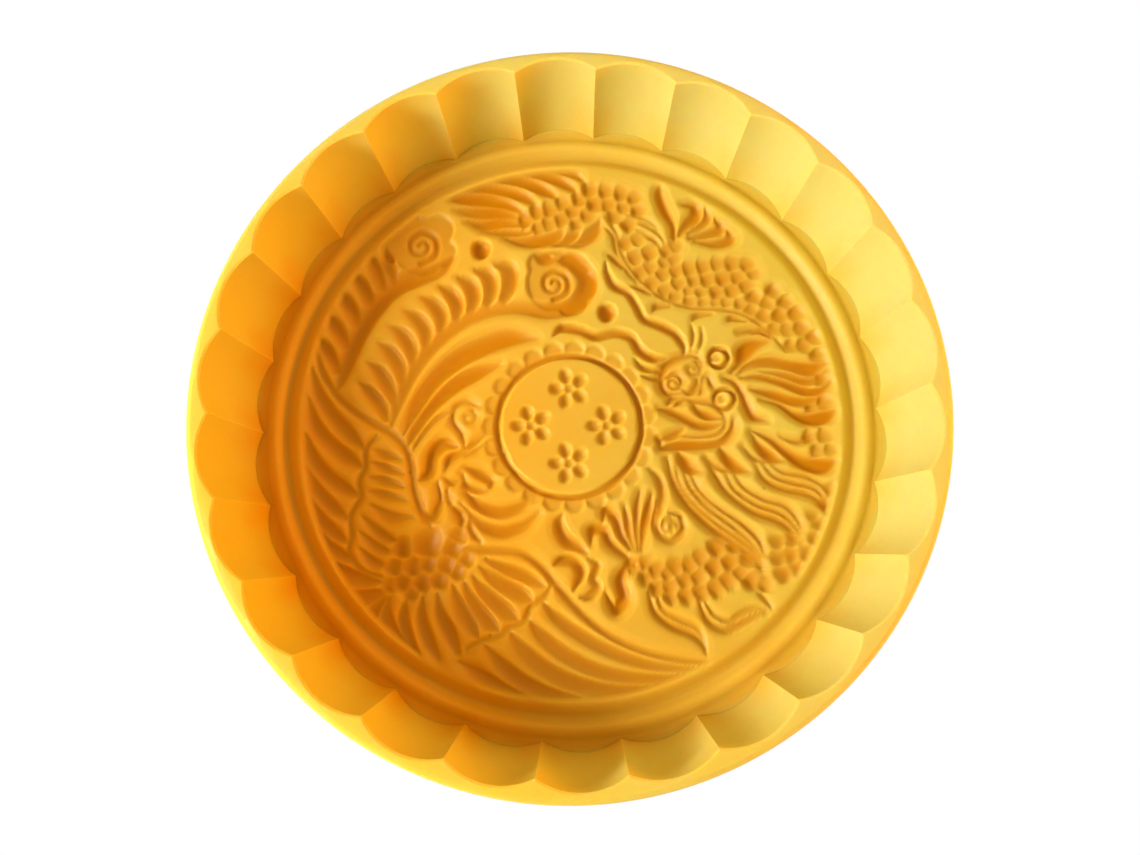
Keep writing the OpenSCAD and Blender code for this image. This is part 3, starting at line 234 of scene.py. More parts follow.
# Muzzle, curled nostrils, jaws, tongue and brow
HEAD_CUTS = [
  [2, 0.2, [33.4, 8.2, 0.6], [29, 8.4, 1.8], [27.4, 12, 2], [29, 16.4, 2], [32.6, 18.8, 1.6],
    [37, 19.8, 1], [39.6, 17.4, 0.8], [39, 14, 0.6]],
  ([2, 0.3] + curl(31.2, 11.4, 0.7, 3, 20, 480, 1.5)),
  ([1.4, 0.3] + curl(37, 15.6, 0.6, 2.4, 0, 420, 1.1)),
  [1.8, 0.2, [33.6, 9.4, 0.6], [35.6, 8.2, 1.6], [38, 10, 1.6], [38.2, 13, 0.6]],
  [1.8, 0, [32.6, 7.2, 0.6], [37, 5.8, 1.4], [42, 5, 1.2], [45.4, 2, 1.1], [46, -1.6, 1.1],
    [43.4, -4.2, 1.1], [38, -5, 1.1], [33, -4.6, 0.6]],
  [1.8, 0, [36.6, 5.2, 0.6], [38.4, 2.6, 2.2], [41.4, 1.2, 2.4], [44.8, 0.6, 0.8]],
  [2, 0.3, [26.6, 3.4, 0.8], [30, 2.6, 2], [34, 0.6, 2.2], [38, -1.4, 2.2], [42, -1.8, 1.8],
    [45, -1, 0.6]],
  [2, 0, [29, 4.4, 0.5], [30.4, 6.4, 1.8], [32.6, 7, 1]],
  [1.8, 0, [31.2, 4.2, 0.5], [32.8, 5.4, 1.6], [34.8, 6.6, 0.8]],
  [1.8, 0.3, [27, -5.6, 1], [31, -4.6, 2], [33.8, -2.6, 0.7]],
  [2, 0.2, [27, -8.4, 1.4], [33, -7.6, 2.6], [40, -7.4, 2.2], [45, -6.4, 2], [48, -3, 1.6],
    [48.4, 0.4, 0.6]],
  [1.8, 0, [38.8, 7.6, 0.5], [39.4, 10, 1.4], [40.2, 13.4, 0.6]],
  [1.8, 0, [41, 14, 0.5], [42, 11.4, 1.5], [43.2, 9.6, 0.6]],
  [2.4, 0.2, [46, 12.8, 0.6], [49, 11.4, 1.6], [51.2, 8, 2], [52.6, 4, 2.2], [54.4, 1, 2.2],
    [58, 0, 0.8]]
]

# Eyes: grooves as (x, y, radius), then pupils as holes
EYES = [(44.7, 18.9, 2.8), (46, 6.4, 3)]
PUPILS = ([[43.8, 19, 1.5], [44.9, 6.5, 1.6]], 180)
print("head:", len(WHISKERS_CUTS) + len(HEAD_CUTS), "strokes and", len(EYES), "eyes")

# %% [markdown]
# ## Mane and cheek
# The horn and the locks of the mane stream back from the brow, and short tufts hang from the
# cheek. A lock is a broad stroke whose keel is pushed to one side, so it looks like hair that
# laps over the next lock. Hair particles would be far too fine for something carved.

# %% Mane and cheek
# Horn and the locks of the mane
MANE_CUTS = [
  [2.4, 0.2, [48.4, 14.6, 0.8], [50.8, 17.2, 2], [52.4, 20.4, 4], [55.4, 22.8, 3], [60, 24.2, 0.6]],
  [1.6, 0, [51, 26.8, 0.5], [55, 27.4, 1.4], [60, 26.6, 0.6]],
  [2.2, 0.5, [50.4, 14, 0.6], [54.4, 16.8, 2], [60, 17.6, 2.8], [66, 16.4, 3], [72, 15, 4],
    [76.6, 17.2, 0.8]],
  [1.8, 0.3, [57, 14.8, 0.6], [64, 13.6, 2], [70, 11.6, 2.6], [74.4, 12.6, 1.6], [77, 15.4, 0.6]],
  [2.2, 0.5, [51, 12.8, 0.6], [57, 13, 1.6], [63, 11.4, 2], [70, 8.6, 2.6], [75, 8.8, 2],
    [78, 11.4, 0.6]],
  [2, 0.3, [54, 9.4, 0.6], [60, 7.8, 2.4], [66, 5.8, 2.8], [71, 5.6, 2.2], [74.4, 7, 0.8]],
  [2.4, -0.2, [57, 6.2, 0.6], [62, 4.8, 1.6], [66.4, 1.8, 2.2], [70.6, 0.4, 3.2], [75.4, 1, 3.4],
    [79, 3, 0.8]],
  [1.6, -0.2, [62, -5, 0.6], [66.6, -6.4, 1.4], [70.6, -5.6, 0.6]],
  [2.4, -0.2, [53.6, -3, 0.6], [59, -5.6, 1.8], [63.6, -9.4, 2.6], [68.4, -12.6, 3.4],
    [74, -13.6, 3.8], [78.4, -12, 0.8]]
]

# Tufts along the cheek
CHEEK_CUTS = [
  [2.2, 0.3, [53.4, -3.8, 0.6], [55.8, -8, 2.6], [59, -11, 3.2], [63, -12.4, 0.6]],
  [1.8, 0, [51, -8, 0.6], [54, -11.2, 1.6], [58, -12.6, 0.8]],
  [2.2, 0.3, [43.8, -7.6, 0.6], [45.8, -11, 2.8], [48.6, -14, 3.2], [52.8, -15.2, 0.6]],
  [1.8, 0, [40, -10.6, 0.6], [43, -13.8, 1.8], [47.4, -15.4, 0.8]],
  [2.2, 0.3, [31.6, -9.4, 0.6], [33.6, -12.4, 3.2], [35.6, -14.6, 3], [38.6, -15, 0.6]]
]
print("mane and cheek:", len(MANE_CUTS) + len(CHEEK_CUTS), "strokes")

# %% [markdown]
# ## Beard
# Three locks of the beard are each a fan of nearly parallel strokes. Shifted copies of one
# stroke would be quicker to write, but a real lock spreads and closes again, so each stroke
# is given in full. The scales of the body show under and beside it.

# %% Beard and the scales round it
# Three locks, each a fan of strokes
BEARD_CUTS = [
  [2.2, 0.2, [28.6, -11, 0.8], [30.4, -18.6, 1.8], [34.6, -25.4, 2], [41, -31.6, 2],
    [48, -36.4, 2], [53, -40.4, 1.8], [55.6, -45, 0.6]],
  [2, 0.2, [31, -14, 0.6], [32.8, -20, 1.6], [37.4, -26, 1.7], [44, -31.4, 1.7],
    [50, -35.8, 1.7], [54, -40, 1.4], [55.8, -44, 0.6]],
  [1.8, 0.2, [33.4, -15.4, 0.6], [35.6, -20.6, 1.5], [40.4, -26, 1.6], [47, -31, 1.6],
    [52.4, -36, 1.5], [55, -40, 1], [55.9, -43, 0.5]],
  [1.6, 0.2, [35.4, -16, 0.6], [38, -21, 1.3], [43, -25.6, 1.4], [49.6, -30.2, 1.5],
    [54.4, -35, 1.5], [56, -39.6, 0.8]],
  [2.2, 0.2, [39.8, -11.2, 0.6], [43, -17, 1.8], [46.4, -21.8, 1.8], [53, -26.8, 1.8],
    [60, -29.4, 1.8], [64, -32.4, 1.5], [66.6, -36, 0.6]],
  [1.8, 0.2, [45.6, -15.6, 0.6], [48.2, -20.6, 1.5], [54.4, -25, 1.6], [61, -27.4, 1.6],
    [65, -31, 1.3], [66.8, -35, 0.6]],
  [1.6, 0.2, [48, -15.8, 0.6], [51, -20, 1.3], [57, -23.6, 1.4], [62.6, -25.4, 1.4],
    [66, -29.6, 1.2], [67, -33, 0.6]],
  [2, 0.2, [54.2, -12.6, 0.6], [57, -17.6, 1.6], [62.4, -20.4, 1.7], [69, -21.8, 1.7],
    [73, -24.6, 1.3], [75, -29, 0.6]],
  [1.6, 0.2, [56.6, -13, 0.6], [60, -16.8, 1.4], [66, -18.8, 1.5], [71.6, -20.4, 1.4],
    [75, -25, 0.7]],
  [1.4, 0.2, [58.8, -12.8, 0.6], [62.6, -15.6, 1.2], [68.6, -16.6, 1.3], [73.6, -19.4, 1.2],
    [76, -24, 0.6]]
]

# Scales of the body under the beard
BELLY_SCALES = ([
  [28.6, -44, 2.4], [31, -42.4, 2.6], [35, -41.8, 2.6], [38.2, -39.8, 2.4], [29.2, -47.8, 2.5],
  [33.6, -46, 2.5], [37.4, -45, 2.6], [42, -42.2, 2.8], [29.2, -50.8, 2.2], [33.8, -50.4, 2.5],
  [38, -49.2, 2.6], [42.2, -48.2, 2.6], [45.8, -46, 2.6], [43, -37, 2.8], [46.6, -40.8, 2.8],
  [47.6, -36.8, 2.3], [49.4, -43.8, 2.5], [51.4, -40.4, 2.4], [52.2, -46.2, 2.6], [56, -47.2, 2.2]
], 225)

# Scales between the tips of the beard and the edge
BEARD_SCALES = ([
  [59.6, -40, 2.3], [60.8, -44.6, 2.4], [63, -39.4, 2.4], [64.6, -43, 2.2], [59.6, -35.4, 2.2],
  [63.4, -35, 2.1], [68, -39, 2.4], [70.6, -34.6, 2.1], [72, -30.4, 2], [70.4, -28, 1.8],
  [73.4, -24.6, 1.9], [75.8, -20, 1.8]
], -20)
print("beard:", len(BEARD_CUTS), "strokes and", len(BELLY_SCALES[0]) + len(BEARD_SCALES[0]), "scales")

# %% [markdown]
# ## Fore leg and flame fins
# The fore leg is a small patch of scales with claws above it, and flames lick out under the
# belly. They are made in the same two ways as the rest, so that one pair of functions
# carves everything.

# %% Fore leg and flames
# Scales of the fore leg
LEG_SCALES = ([
  [18.8, -42, 2.4], [22.6, -41.6, 2.2], [22.4, -45.6, 2.3], [25.6, -43.4, 2.6], [25.6, -48.4, 2.5]
], 200)

# Claws of the fore foot
FORE_FOOT_CUTS = [
  [2.4, 0, [6.2, -36.4, 0.6], [6.6, -32.6, 2.6], [9.8, -32.2, 2.4], [12, -36, 2.4],
    [16.6, -39.8, 1.6]],
  [2.2, 0, [9.6, -30, 0.6], [10.6, -26.6, 2.2], [13.4, -29, 2.4], [15, -33.6, 2.2],
    [17.6, -37.8, 1.2]],
  [2.2, 0, [16, -25.6, 0.6], [16.8, -29, 2], [17.4, -33, 2], [18.6, -37.6, 1]],
  [2, 0, [20.6, -21, 0.6], [19.6, -26, 1.8], [19.6, -32, 1.8], [19.8, -37.8, 0.9]],
  [2.2, 0, [24, -21.4, 0.6], [22.8, -27, 2.4], [21.6, -32, 2.2], [20.8, -37.8, 1]],
  [2.4, 0, [16.6, -42.6, 1.4], [14.6, -46.6, 2.6], [15.6, -51.6, 3], [13.6, -54.8, 2.8],
    [11.8, -53, 1.8], [10.2, -49.8, 0.5]]
]

# Flame fins under the belly
FLAMES_CUTS = [
  [2.2, -0.2, [22.6, -50, 0.8], [24.4, -55.4, 2], [29.2, -59.2, 2.2], [34.6, -61.4, 2.2],
    [37.6, -64, 1.6], [38.6, -67, 0.6]],
  [2, -0.2, [24.8, -50.6, 0.6], [27, -55, 1.8], [32, -57.8, 2], [36.4, -60, 1.8], [38.8, -65, 0.7]],
  [2, -0.2, [36.8, -52.4, 0.8], [39.4, -57.8, 2], [44.4, -60.2, 2], [50, -57.8, 2],
    [54.6, -55.8, 1.2], [58.4, -56.8, 0.5]],
  [1.8, -0.2, [38.6, -52.6, 0.6], [41.4, -56.2, 1.6], [45.6, -57.8, 1.6], [50, -55.2, 1.8],
    [54, -54.2, 1.2], [57, -55.4, 0.5]],
  [1.8, 0, [53.4, -50, 0.6], [55.6, -51.6, 1.6], [58.2, -55.6, 0.5]]
]
print("fore leg and flames:", len(FORE_FOOT_CUTS) + len(FLAMES_CUTS), "strokes")

# %% [markdown]
# ## Small clouds and pearls
# Hooked little clouds and two pearls fill the bare field. A pearl is a hole here, because it
# stands up on the cake. A Boolean with a sphere would give a round bottom, while the real
# holes have flat ones, so they are pits with steep sides.

# %% Clouds and pearls
# Hooks and curls scattered in the field
CLOUDS_CUTS = [
  [2.4, 0.3, [-4.4, -42.4, 0.6], [-2, -41, 2.4], [1.4, -41.4, 2.8], [3.2, -44.6, 2.8],
    [1.2, -49.4, 0.8]],
  [1.8, 0.3, [5.4, -40.4, 0.6], [8, -42.4, 2], [6.8, -46, 2], [8, -48.4, 2.2], [6, -51, 2.2],
    [3, -51.4, 0.6]],
  [2.4, 0.2, [-2, -27.6, 0.6], [-3, -31, 2.8], [-1, -35, 3.4], [2.6, -37, 2.6], [5, -38.8, 1]],
  [2.2, 0.2, [23, -14, 0.6], [26, -17.4, 2.2], [27, -21.6, 2.4], [26.2, -25.6, 2.4],
    [24.8, -29.6, 2.2], [26.2, -33.8, 2], [30, -35.2, 2], [33, -32, 1.8], [32, -28, 1.6],
    [29, -27.4, 0.8]],
  ([2, 0.3] + curl(28.8, -31.4, 0.6, 2.4, 60, -400, 1.6)),
  [1.8, 0, [25.2, -4, 0.6], [26.2, -6, 2], [27, -9, 0.6]]
]

# The two pearls
PEARLS = ([[11.4, 33, 2.9], [-27, 53.4, 3.1]], 190)
print("clouds:", len(CLOUDS_CUTS), "strokes and", len(PEARLS[0]), "pearls")

# %% [markdown]
# ## The tail plumes of the phoenix
# Two long quills curl round into clouds, and barbs lean off each of them like the leaves of
# a fern. Each cloud is a shallow pad of overlapping discs, which gives it a lobed outline
# without any drawing of the outline, and it has a spiral inside.

# %% Plumes with their clouds
# Quills, each with a fan of barbs
PLUMES_CUTS = [
  [2.4, 0.4, [-36, 51, 1.2], [-39.6, 47.4, 3.2], [-46, 45, 4], [-52, 42.6, 4.4], [-57, 38, 4.4],
    [-62, 31, 4.4], [-66, 22, 4], [-68.4, 14, 3], [-69.4, 9.4, 0.8]],
  [2.2, 0.3, [-56.6, 53.6, 0.8], [-56, 50, 3], [-54.4, 44, 3]],
  [2.2, 0.3, [-62.6, 51.6, 0.8], [-60, 48, 3.2], [-57.4, 41, 3]],
  [2.2, 0.3, [-67.6, 45.6, 0.8], [-64, 42.4, 3.2], [-60.6, 35.6, 3]],
  [2.2, 0.3, [-71.4, 39.6, 0.8], [-68, 36.6, 3.2], [-64.6, 30, 3]],
  [2.2, 0.3, [-74.4, 32.4, 0.8], [-71.4, 29.4, 3.2], [-67.6, 23, 3]],
  [2.2, 0.3, [-76.6, 25.4, 0.8], [-73.6, 22, 3], [-70, 15.6, 2.6]],
  [2.2, 0.3, [-10.4, 51.4, 0.8], [-7.8, 50.4, 2.6], [-4, 51.4, 2.4], [-1.2, 50.4, 2.8],
    [1.6, 49.2, 3.4],
    [5.4, 44.8, 4], [5, 39.6, 4], [1, 35.4, 3.6], [-6.2, 34, 3.6], [-13, 35, 3.2], [-20, 35, 3],
    [-26.8, 33.4, 3.2], [-34, 29.6, 3.4], [-41, 23.2, 3.4], [-46.6, 15.6, 3.2], [-50.6, 7, 2.8],
    [-53, -2.4, 0.8]],
  [2.2, 0.3, [-22.6, 48.6, 0.8], [-18.6, 47.4, 3.2], [-18, 42.6, 3.4], [-20, 37, 2]],
  [2.2, 0.3, [-28.8, 46.8, 0.8], [-25, 45.4, 3], [-23.8, 41, 3.2], [-25, 35.8, 2]],
  [2.2, 0.3, [-34, 44.4, 0.8], [-30.6, 42.6, 3], [-29, 38.6, 3.2], [-30, 33.6, 2]],
  [2.2, 0.3, [-39.4, 41.6, 0.8], [-36, 39.4, 2.8], [-34, 35.6, 3], [-34.4, 31.6, 2]],
  [2.2, 0.3, [-44.8, 38.2, 0.8], [-41, 36, 2.8], [-38.8, 32.4, 3], [-38.8, 28, 2]],
  [2.2, 0.3, [-49.6, 34, 0.8], [-46, 31.4, 2.8], [-43.4, 27.8, 3], [-43.2, 23.4, 2]],
  [2.2, 0.3, [-54, 29, 0.8], [-50.4, 26.4, 2.8], [-47.8, 22.4, 3], [-47, 18, 2]],
  [2.2, 0.3, [-57.6, 23.6, 0.8], [-54, 21, 2.8], [-51, 16.6, 3], [-50, 12, 2]],
  [2.2, 0.3, [-60.6, 17.6, 0.8], [-57, 14.8, 2.8], [-54, 10.2, 3], [-52.2, 5.6, 2]],
  [2.2, 0.3, [-63, 11.4, 0.8], [-59.6, 8.4, 2.8], [-56, 4.4, 2.8], [-54.4, 0.6, 1.6]]
]

# Spirals inside the two clouds
SPIRALS_CUTS = [
  ([1.3, 0] + curl(-45.6, 55, 0.8, 5.8, 150, -600, 2.3)),
  ([1.3, 0] + curl(-4.6, 42.6, 0.8, 5.2, 150, -600, 2.1))
]

# Pads of the two clouds, as (x, y, radius)
PADS = [(-45.6, 54.8, 8.6), (-49.6, 60.6, 4.4), (-53.6, 54.4, 4.2), (-40.4, 59.8, 4.4), (-39, 52.6, 4),
        (-4.8, 42.6, 8), (1, 47.6, 4.6), (4, 42, 4.4), (1, 36.8, 4.4), (-8.4, 48.6, 4)]
print("plumes:", len(PLUMES_CUTS), "strokes and", len(PADS), "discs of cloud")

# %% [markdown]
# ## Neck and head of the phoenix
# Long hackles sweep down the neck to a small head with a crest curl, a beak and a wattle.
# The broad hackles are single deep strokes. Modelling each feather as a mesh would bring
# edges that the soft silicone doesn't show.

# %% Neck and head
NECK_CUTS = [
  [2.6, 0.3, [-9.6, 25.4, 0.8], [-17, 25.6, 4], [-25, 23.2, 4.6], [-33, 19, 4.6], [-40, 12.6, 4],
    [-45.4, 4.4, 3.4], [-49, -4, 0.8]],
  [2.6, 0.3, [-20.6, 17.2, 0.8], [-27, 14.8, 3.4], [-34, 11, 4], [-40.6, 5, 3.6], [-45.4, -2, 2.8],
    [-48, -8, 0.8]],
  [2, 0.3, [-34.4, 3.2, 0.6], [-39.6, 0.6, 1.8], [-43.4, -4, 1.8], [-46.6, -9.6, 0.6]],
  [2, 0, [-27, 4.4, 0.6], [-30.6, 5.8, 1.4], [-33.8, 3.8, 1.5], [-34.4, 0, 1.5], [-31.8, -4, 1.5],
    [-31, -8, 0.8]],
  ([1.6, 0] + curl(-29.6, 1, 0.8, 2.2, 90, 330, 1)),
  [2.6, 0.2, [-44, -17.8, 0.8], [-41, -15.4, 3], [-40, -10.4, 3.4], [-37, -7, 3.2], [-33, -7.8, 1]],
  [2, 0.3, [-36.4, -14.8, 0.6], [-35, -11.6, 2.4], [-31.8, -9.8, 1.6], [-29, -9, 0.6]],
  [1.6, 0, [-32, -9, 0.6], [-28.6, -7.4, 1.6], [-25, -4.6, 0.6]],
  [1.6, 0, [-30.6, -10.6, 0.6], [-27.6, -8.8, 1.4], [-24.6, -7, 0.5]],
  [1.8, 0, [-36.6, -17, 0.6], [-34.4, -18.6, 1.8], [-31.6, -17.6, 0.6]],
  [1.8, 0, [-35.6, -19.6, 0.6], [-35.4, -23, 1.8], [-33.6, -26, 0.6]],
  [1.8, 0.2, [-30.4, -14, 0.6], [-26.6, -15.6, 2.6], [-22.8, -18, 2.2], [-23.6, -20.4, 0.8]],
  [1.8, 0.2, [-31.4, -16, 0.6], [-30, -19.4, 2.2], [-26.8, -20.6, 2], [-23.8, -20.8, 0.6]],
  [2.2, 0.2, [-31, -20.6, 0.6], [-26.4, -25, 2.8], [-20, -27, 3.2], [-14, -25.6, 2.4],
    [-10.6, -22.4, 0.6]],
  [2.2, 0.2, [-31.6, -24.6, 0.6], [-26, -30.4, 2.8], [-19, -32.6, 3.2], [-13, -31, 2.4],
    [-8.8, -27.6, 0.6]],
  [2, 0, [-38.6, -18, 0.6], [-37.6, -24, 2], [-40, -28.6, 2.4], [-44, -26, 0.8]],
  [2, 0, [-34.4, -25, 0.8], [-31.4, -28.4, 2.6], [-31.6, -32.6, 0.8]],
  [1.8, 0, [-28.8, -27, 0.6], [-28.4, -32, 2.2], [-25, -36.4, 0.6]]
]
print("neck:", len(NECK_CUTS), "strokes")

# %% [markdown]
# ## Left wing
# A leading edge runs in from the disc's edge, short bars cross the shoulder, and long flight
# feathers fan out. Each feather leans to one side, which leaves the steep lip on one edge
# that makes feathers look laid over each other.

# %% Left wing
# Leading edge, covert bars and flight feathers
LEFT_WING_CUTS = [
  [1.8, 0, [-76.8, 24, 0.8], [-74.6, 16, 1.8], [-70.6, 9, 1.8], [-65.4, 3.8, 1.8], [-59, -0.4, 1.8],
    [-53, -3.4, 1.8], [-48.6, -7.6, 1.8], [-46.4, -13, 1.8], [-45.4, -19.6, 1.8],
    [-43, -26.6, 1.8], [-39.4, -32.6, 0.8]],
  [1.6, 0, [-57, -4.4, 0.8], [-60, -8.6, 1.5], [-60, -13.6, 1.5], [-61.6, -18, 1.5],
    [-61, -22.6, 1.5],
    [-63.6, -28, 1.5], [-63, -33.6, 1.5], [-63.6, -38.6, 1.5], [-60, -43.6, 1.5],
    [-54, -45.6, 0.8]],
  [1.6, 0.4, [-57.6, -8.6, 0.8], [-54, -10.4, 2.4], [-49.4, -11.6, 0.8]],
  [1.6, 0.4, [-58, -12.6, 0.8], [-54, -14.2, 2.4], [-49, -15.8, 0.8]],
  [1.6, 0.4, [-58.4, -17, 0.8], [-54, -18, 2.4], [-48.6, -19.8, 0.8]],
  [1.6, 0.4, [-58.6, -21, 0.8], [-54, -22.2, 2.4], [-47.8, -23.6, 0.8]],
  [1.6, 0.4, [-58, -25, 0.8], [-52, -28.6, 2.8], [-45.4, -28.6, 0.8]],
  [1.6, 0.4, [-60, -28.6, 0.8], [-55, -33.6, 2.8], [-48.6, -36.4, 0.8]],
  [1.6, 0.4, [-60.6, -33, 0.8], [-56.4, -37, 2.6], [-51, -39, 0.8]],
  [1.6, 0.4, [-60.6, -37.6, 0.8], [-57, -41.4, 2.6], [-52.4, -42.8, 0.8]],
  [2, 0.4, [-77.4, 16, 0.8], [-75, 8, 3], [-70.6, 1.4, 3.6], [-65.6, -4, 3.6], [-60.8, -8.4, 1.2]],
  [2, 0.4, [-78, 7, 0.8], [-75.6, -1.4, 3.4], [-71.4, -6.6, 3.6], [-66, -11, 3.6], [-61, -14, 1.2]],
  [2, 0.4, [-78.2, -4, 0.8], [-75.4, -12, 3.4], [-71, -17, 3.6], [-66, -20.4, 3.2],
    [-62, -22.4, 1.2]],
  [2, 0.4, [-77.4, -14, 0.8], [-74, -21, 3.4], [-69.6, -25.6, 3.4], [-65, -29, 1.2]],
  [2, 0.4, [-75.8, -23, 0.8], [-72.4, -29.4, 3.2], [-68, -33.6, 3], [-64.4, -36, 1]],
  [2, 0.4, [-74, -31, 0.8], [-70.4, -36.6, 3], [-66, -39.6, 2.8], [-62.4, -41.4, 1]],
  [2.2, 0.4, [-70, -40.4, 0.8], [-67, -44, 3.6], [-61.4, -46.4, 3.6], [-54, -47.4, 1]],
  [2, 0.4, [-64, -50, 0.8], [-60, -52, 4], [-55.4, -51, 3], [-52.6, -49.4, 1]],
  [2, 0, [-56.2, -58.8, 0.8], [-56, -55.6, 3.2], [-53, -51.6, 1.2]]
]
print("left wing:", len(LEFT_WING_CUTS), "strokes")

# %% [markdown]
# ## Body and right wing
# The breast has the largest and roundest scales of all. The right wing is a fan of coverts
# and then feathers that sweep along the edge of the disc to one tip. Their widths shrink
# towards the tip, which a copied and turned feather would not give.

# %% Breast and right wing
# Round scales of the breast
BREAST_SCALES = ([
  [-40.6, -35.6, 4], [-33.2, -37, 2.9], [-48.2, -37, 2.8], [-45, -42.4, 2.8], [-40.6, -41.4, 2.8],
  [-35, -41.6, 2.9], [-50.4, -42.6, 2.5], [-48, -46.8, 2.7], [-42.4, -46.6, 2.8],
    [-37.2, -45.8, 2.8],
  [-32, -43.4, 2.6], [-51.6, -47.6, 2.2], [-45.4, -49.8, 2.2], [-31.6, -33.4, 2.4],
    [-29.4, -40, 2.4]
], 250)

# Leading edge, covert fan and feathers sweeping to the tip
RIGHT_WING_CUTS = [
  [2, 0, [-37, -38.4, 0.8], [-29, -37.8, 1.9], [-20, -38, 1.9], [-13.4, -38.8, 1.9],
    [-8, -42.6, 1.9],
    [-3.6, -47.8, 1.9], [1.6, -53.6, 1.9], [8, -59.4, 1.9], [15.6, -64, 1.8], [24, -67, 1.7],
    [33, -68.8, 1.5], [41.6, -69.2, 0.7]],
  [1.8, 0, [-4.8, -47.4, 0.8], [-7, -51.4, 1.5], [-10.6, -53.6, 1.5], [-12.6, -57.6, 1.5],
    [-17, -59.8, 1.5], [-20, -62, 1.5], [-25, -63.4, 1.5], [-29, -65.6, 1]],
  [2.2, 0.4, [-24, -40.6, 0.8], [-18, -43.6, 3], [-12, -45.8, 3], [-7.4, -48, 1]],
  [2.2, 0.4, [-25.6, -42.8, 0.8], [-20, -47.4, 3.4], [-14, -50.4, 3.4], [-10.6, -52.4, 1]],
  [2.2, 0.4, [-27.6, -45.6, 0.8], [-23.4, -51, 3.4], [-18.4, -55, 3.4], [-14.4, -58, 1]],
  [2.2, 0.4, [-30, -47.4, 0.8], [-27.4, -53.4, 3.4], [-23.4, -58, 3.4], [-20, -61, 1]],
  [2.2, 0.4, [-33.4, -48, 0.8], [-31.4, -54, 3.2], [-28.4, -59, 3.2], [-26, -62.6, 1]],
  [2, 0.4, [-7.4, -53, 0.8], [-3, -57.4, 2.6], [4, -62.2, 2.8], [12, -66.4, 2.6], [21, -69.6, 2.2],
    [30, -71, 1.6], [38, -71, 0.7]],
  [2, 0.4, [-11.4, -57.8, 0.8], [-7, -62.6, 3], [0, -67.8, 3.2], [8, -71.6, 3.2], [17, -73.6, 2.8],
    [26, -73.8, 2], [35, -72.6, 0.7]],
  [2, 0.4, [-17, -61, 0.8], [-12.4, -66.6, 3.2], [-5.6, -71.8, 3.4], [2.6, -75.4, 3.4],
    [11, -77, 2.8],
    [20, -76.8, 2], [29, -75.4, 0.7]],
  [2, 0.4, [-24, -64.6, 0.8], [-19, -70.4, 3.2], [-12.6, -75, 3.2], [-4.6, -78, 2.4],
    [3, -78.8, 0.8]],
  [1.8, 0.4, [-31, -69.4, 0.8], [-25, -73, 2.8], [-18.6, -76.6, 2.6], [-12, -78.6, 0.8]],
  [2, 0.3, [-51.6, -51.4, 0.8], [-52.4, -57, 3.2], [-49.4, -62.6, 3.4], [-45, -66.6, 1.6]],
  [2, 0.3, [-46.8, -52, 0.8], [-47.4, -58, 2.8], [-45.4, -63.6, 2.6], [-42.4, -67.6, 1]],
  [2, 0.3, [-42, -51.4, 0.8], [-42.2, -57.6, 2.8], [-40, -63.6, 3], [-36.8, -68.6, 1.2]],
  [2, 0.3, [-37.8, -50.6, 0.8], [-36.8, -56.4, 2.8], [-34, -61.6, 3.2], [-31.6, -66.6, 1.6]]
]
print("right wing:", len(RIGHT_WING_CUTS), "strokes and", len(BREAST_SCALES[0]), "scales")

# %% [markdown]
# ## Every group together
# A carver lowers the ground round a figure before cutting its lines. So each group of
# strokes says how wide its cuts open and how deep a bed it lies in, in millimetres. The
# tiny bubble marks are where air was caught as the silicone set.

# %% Groups of strokes, pits and holes
# (rows, how wide the cuts open, depth of the bed)
CUTS = [
  (TAIL_FINS_CUTS, 1.4, 0.7), (SPINE_CUTS, 1.3, 0.4), (LEG_HAIRS_CUTS, 1.3, 0.3),
  (HIND_FOOT_CUTS, 1.45, 0.7), (WHISKERS_CUTS, 1.35, 0), (HEAD_CUTS, 1.35, 0.9),
  (MANE_CUTS, 1.35, 0.9), (CHEEK_CUTS, 1.35, 0.8), (BEARD_CUTS, 1.25, 0.9),
  (FORE_FOOT_CUTS, 1.45, 0.7), (FLAMES_CUTS, 1.4, 0.3), (CLOUDS_CUTS, 1.45, 0.3),
  (PLUMES_CUTS, 1.7, 0.4), (SPIRALS_CUTS, 1.2, 0.2), (NECK_CUTS, 1.4, 0.6),
  (LEFT_WING_CUTS, 1.6, 0.5), (RIGHT_WING_CUTS, 1.6, 0.4)
]
PITS = [
  TAIL_SCALES, BACK_SCALES, THIGH_SCALES, BELLY_PLATES, SIDE_SCALES, SIDE_PLATES,
  BELLY_SCALES, BEARD_SCALES, LEG_SCALES, BREAST_SCALES
]
HOLES = [PUPILS, PEARLS]
BUBBLES = [(-47, -15.3, 0.6), (18.9, -42.4, 0.6), (56.6, -20.2, 0.5), (-22.4, -61.8, 0.6), (43, 18.7, 0.6)]
print("strokes:", sum(len(g[0]) for g in CUTS), "pits:", sum(len(g[0]) for g in PITS + HOLES))

# %% [markdown]
# ## A smooth line through the points
# A carver's line has no corners. A Bezier curve object could smooth it, but it would have
# to be made a mesh to be measured, so the points are joined here with a Catmull-Rom spline,
# which passes through each of them. The width is smoothed along with x and y.

# %% Smooth curve
PACE = 0.45
THINNEST = 0.25


def smooth(rows):
    p = np.array(rows, float)
    p = np.vstack([2 * p[0] - p[1], p, 2 * p[-1] - p[-2]])
    out = []
    for i in range(1, len(p) - 2):
        a, b, c, d = p[i - 1], p[i], p[i + 1], p[i + 2]
        n = max(2, int(np.hypot(*(c - b)[:2]) / PACE))
        t = np.arange(n)[:, None] / n
        out.append(b + 0.5 * t * (c - a + t * (2 * a - 5 * b + 4 * c - d + t * (3 * b - a - 3 * c + d))))
    out.append(p[-2][None])
    q = np.vstack(out)
    q[:, 2] = np.maximum(q[:, 2], THINNEST)
    return q


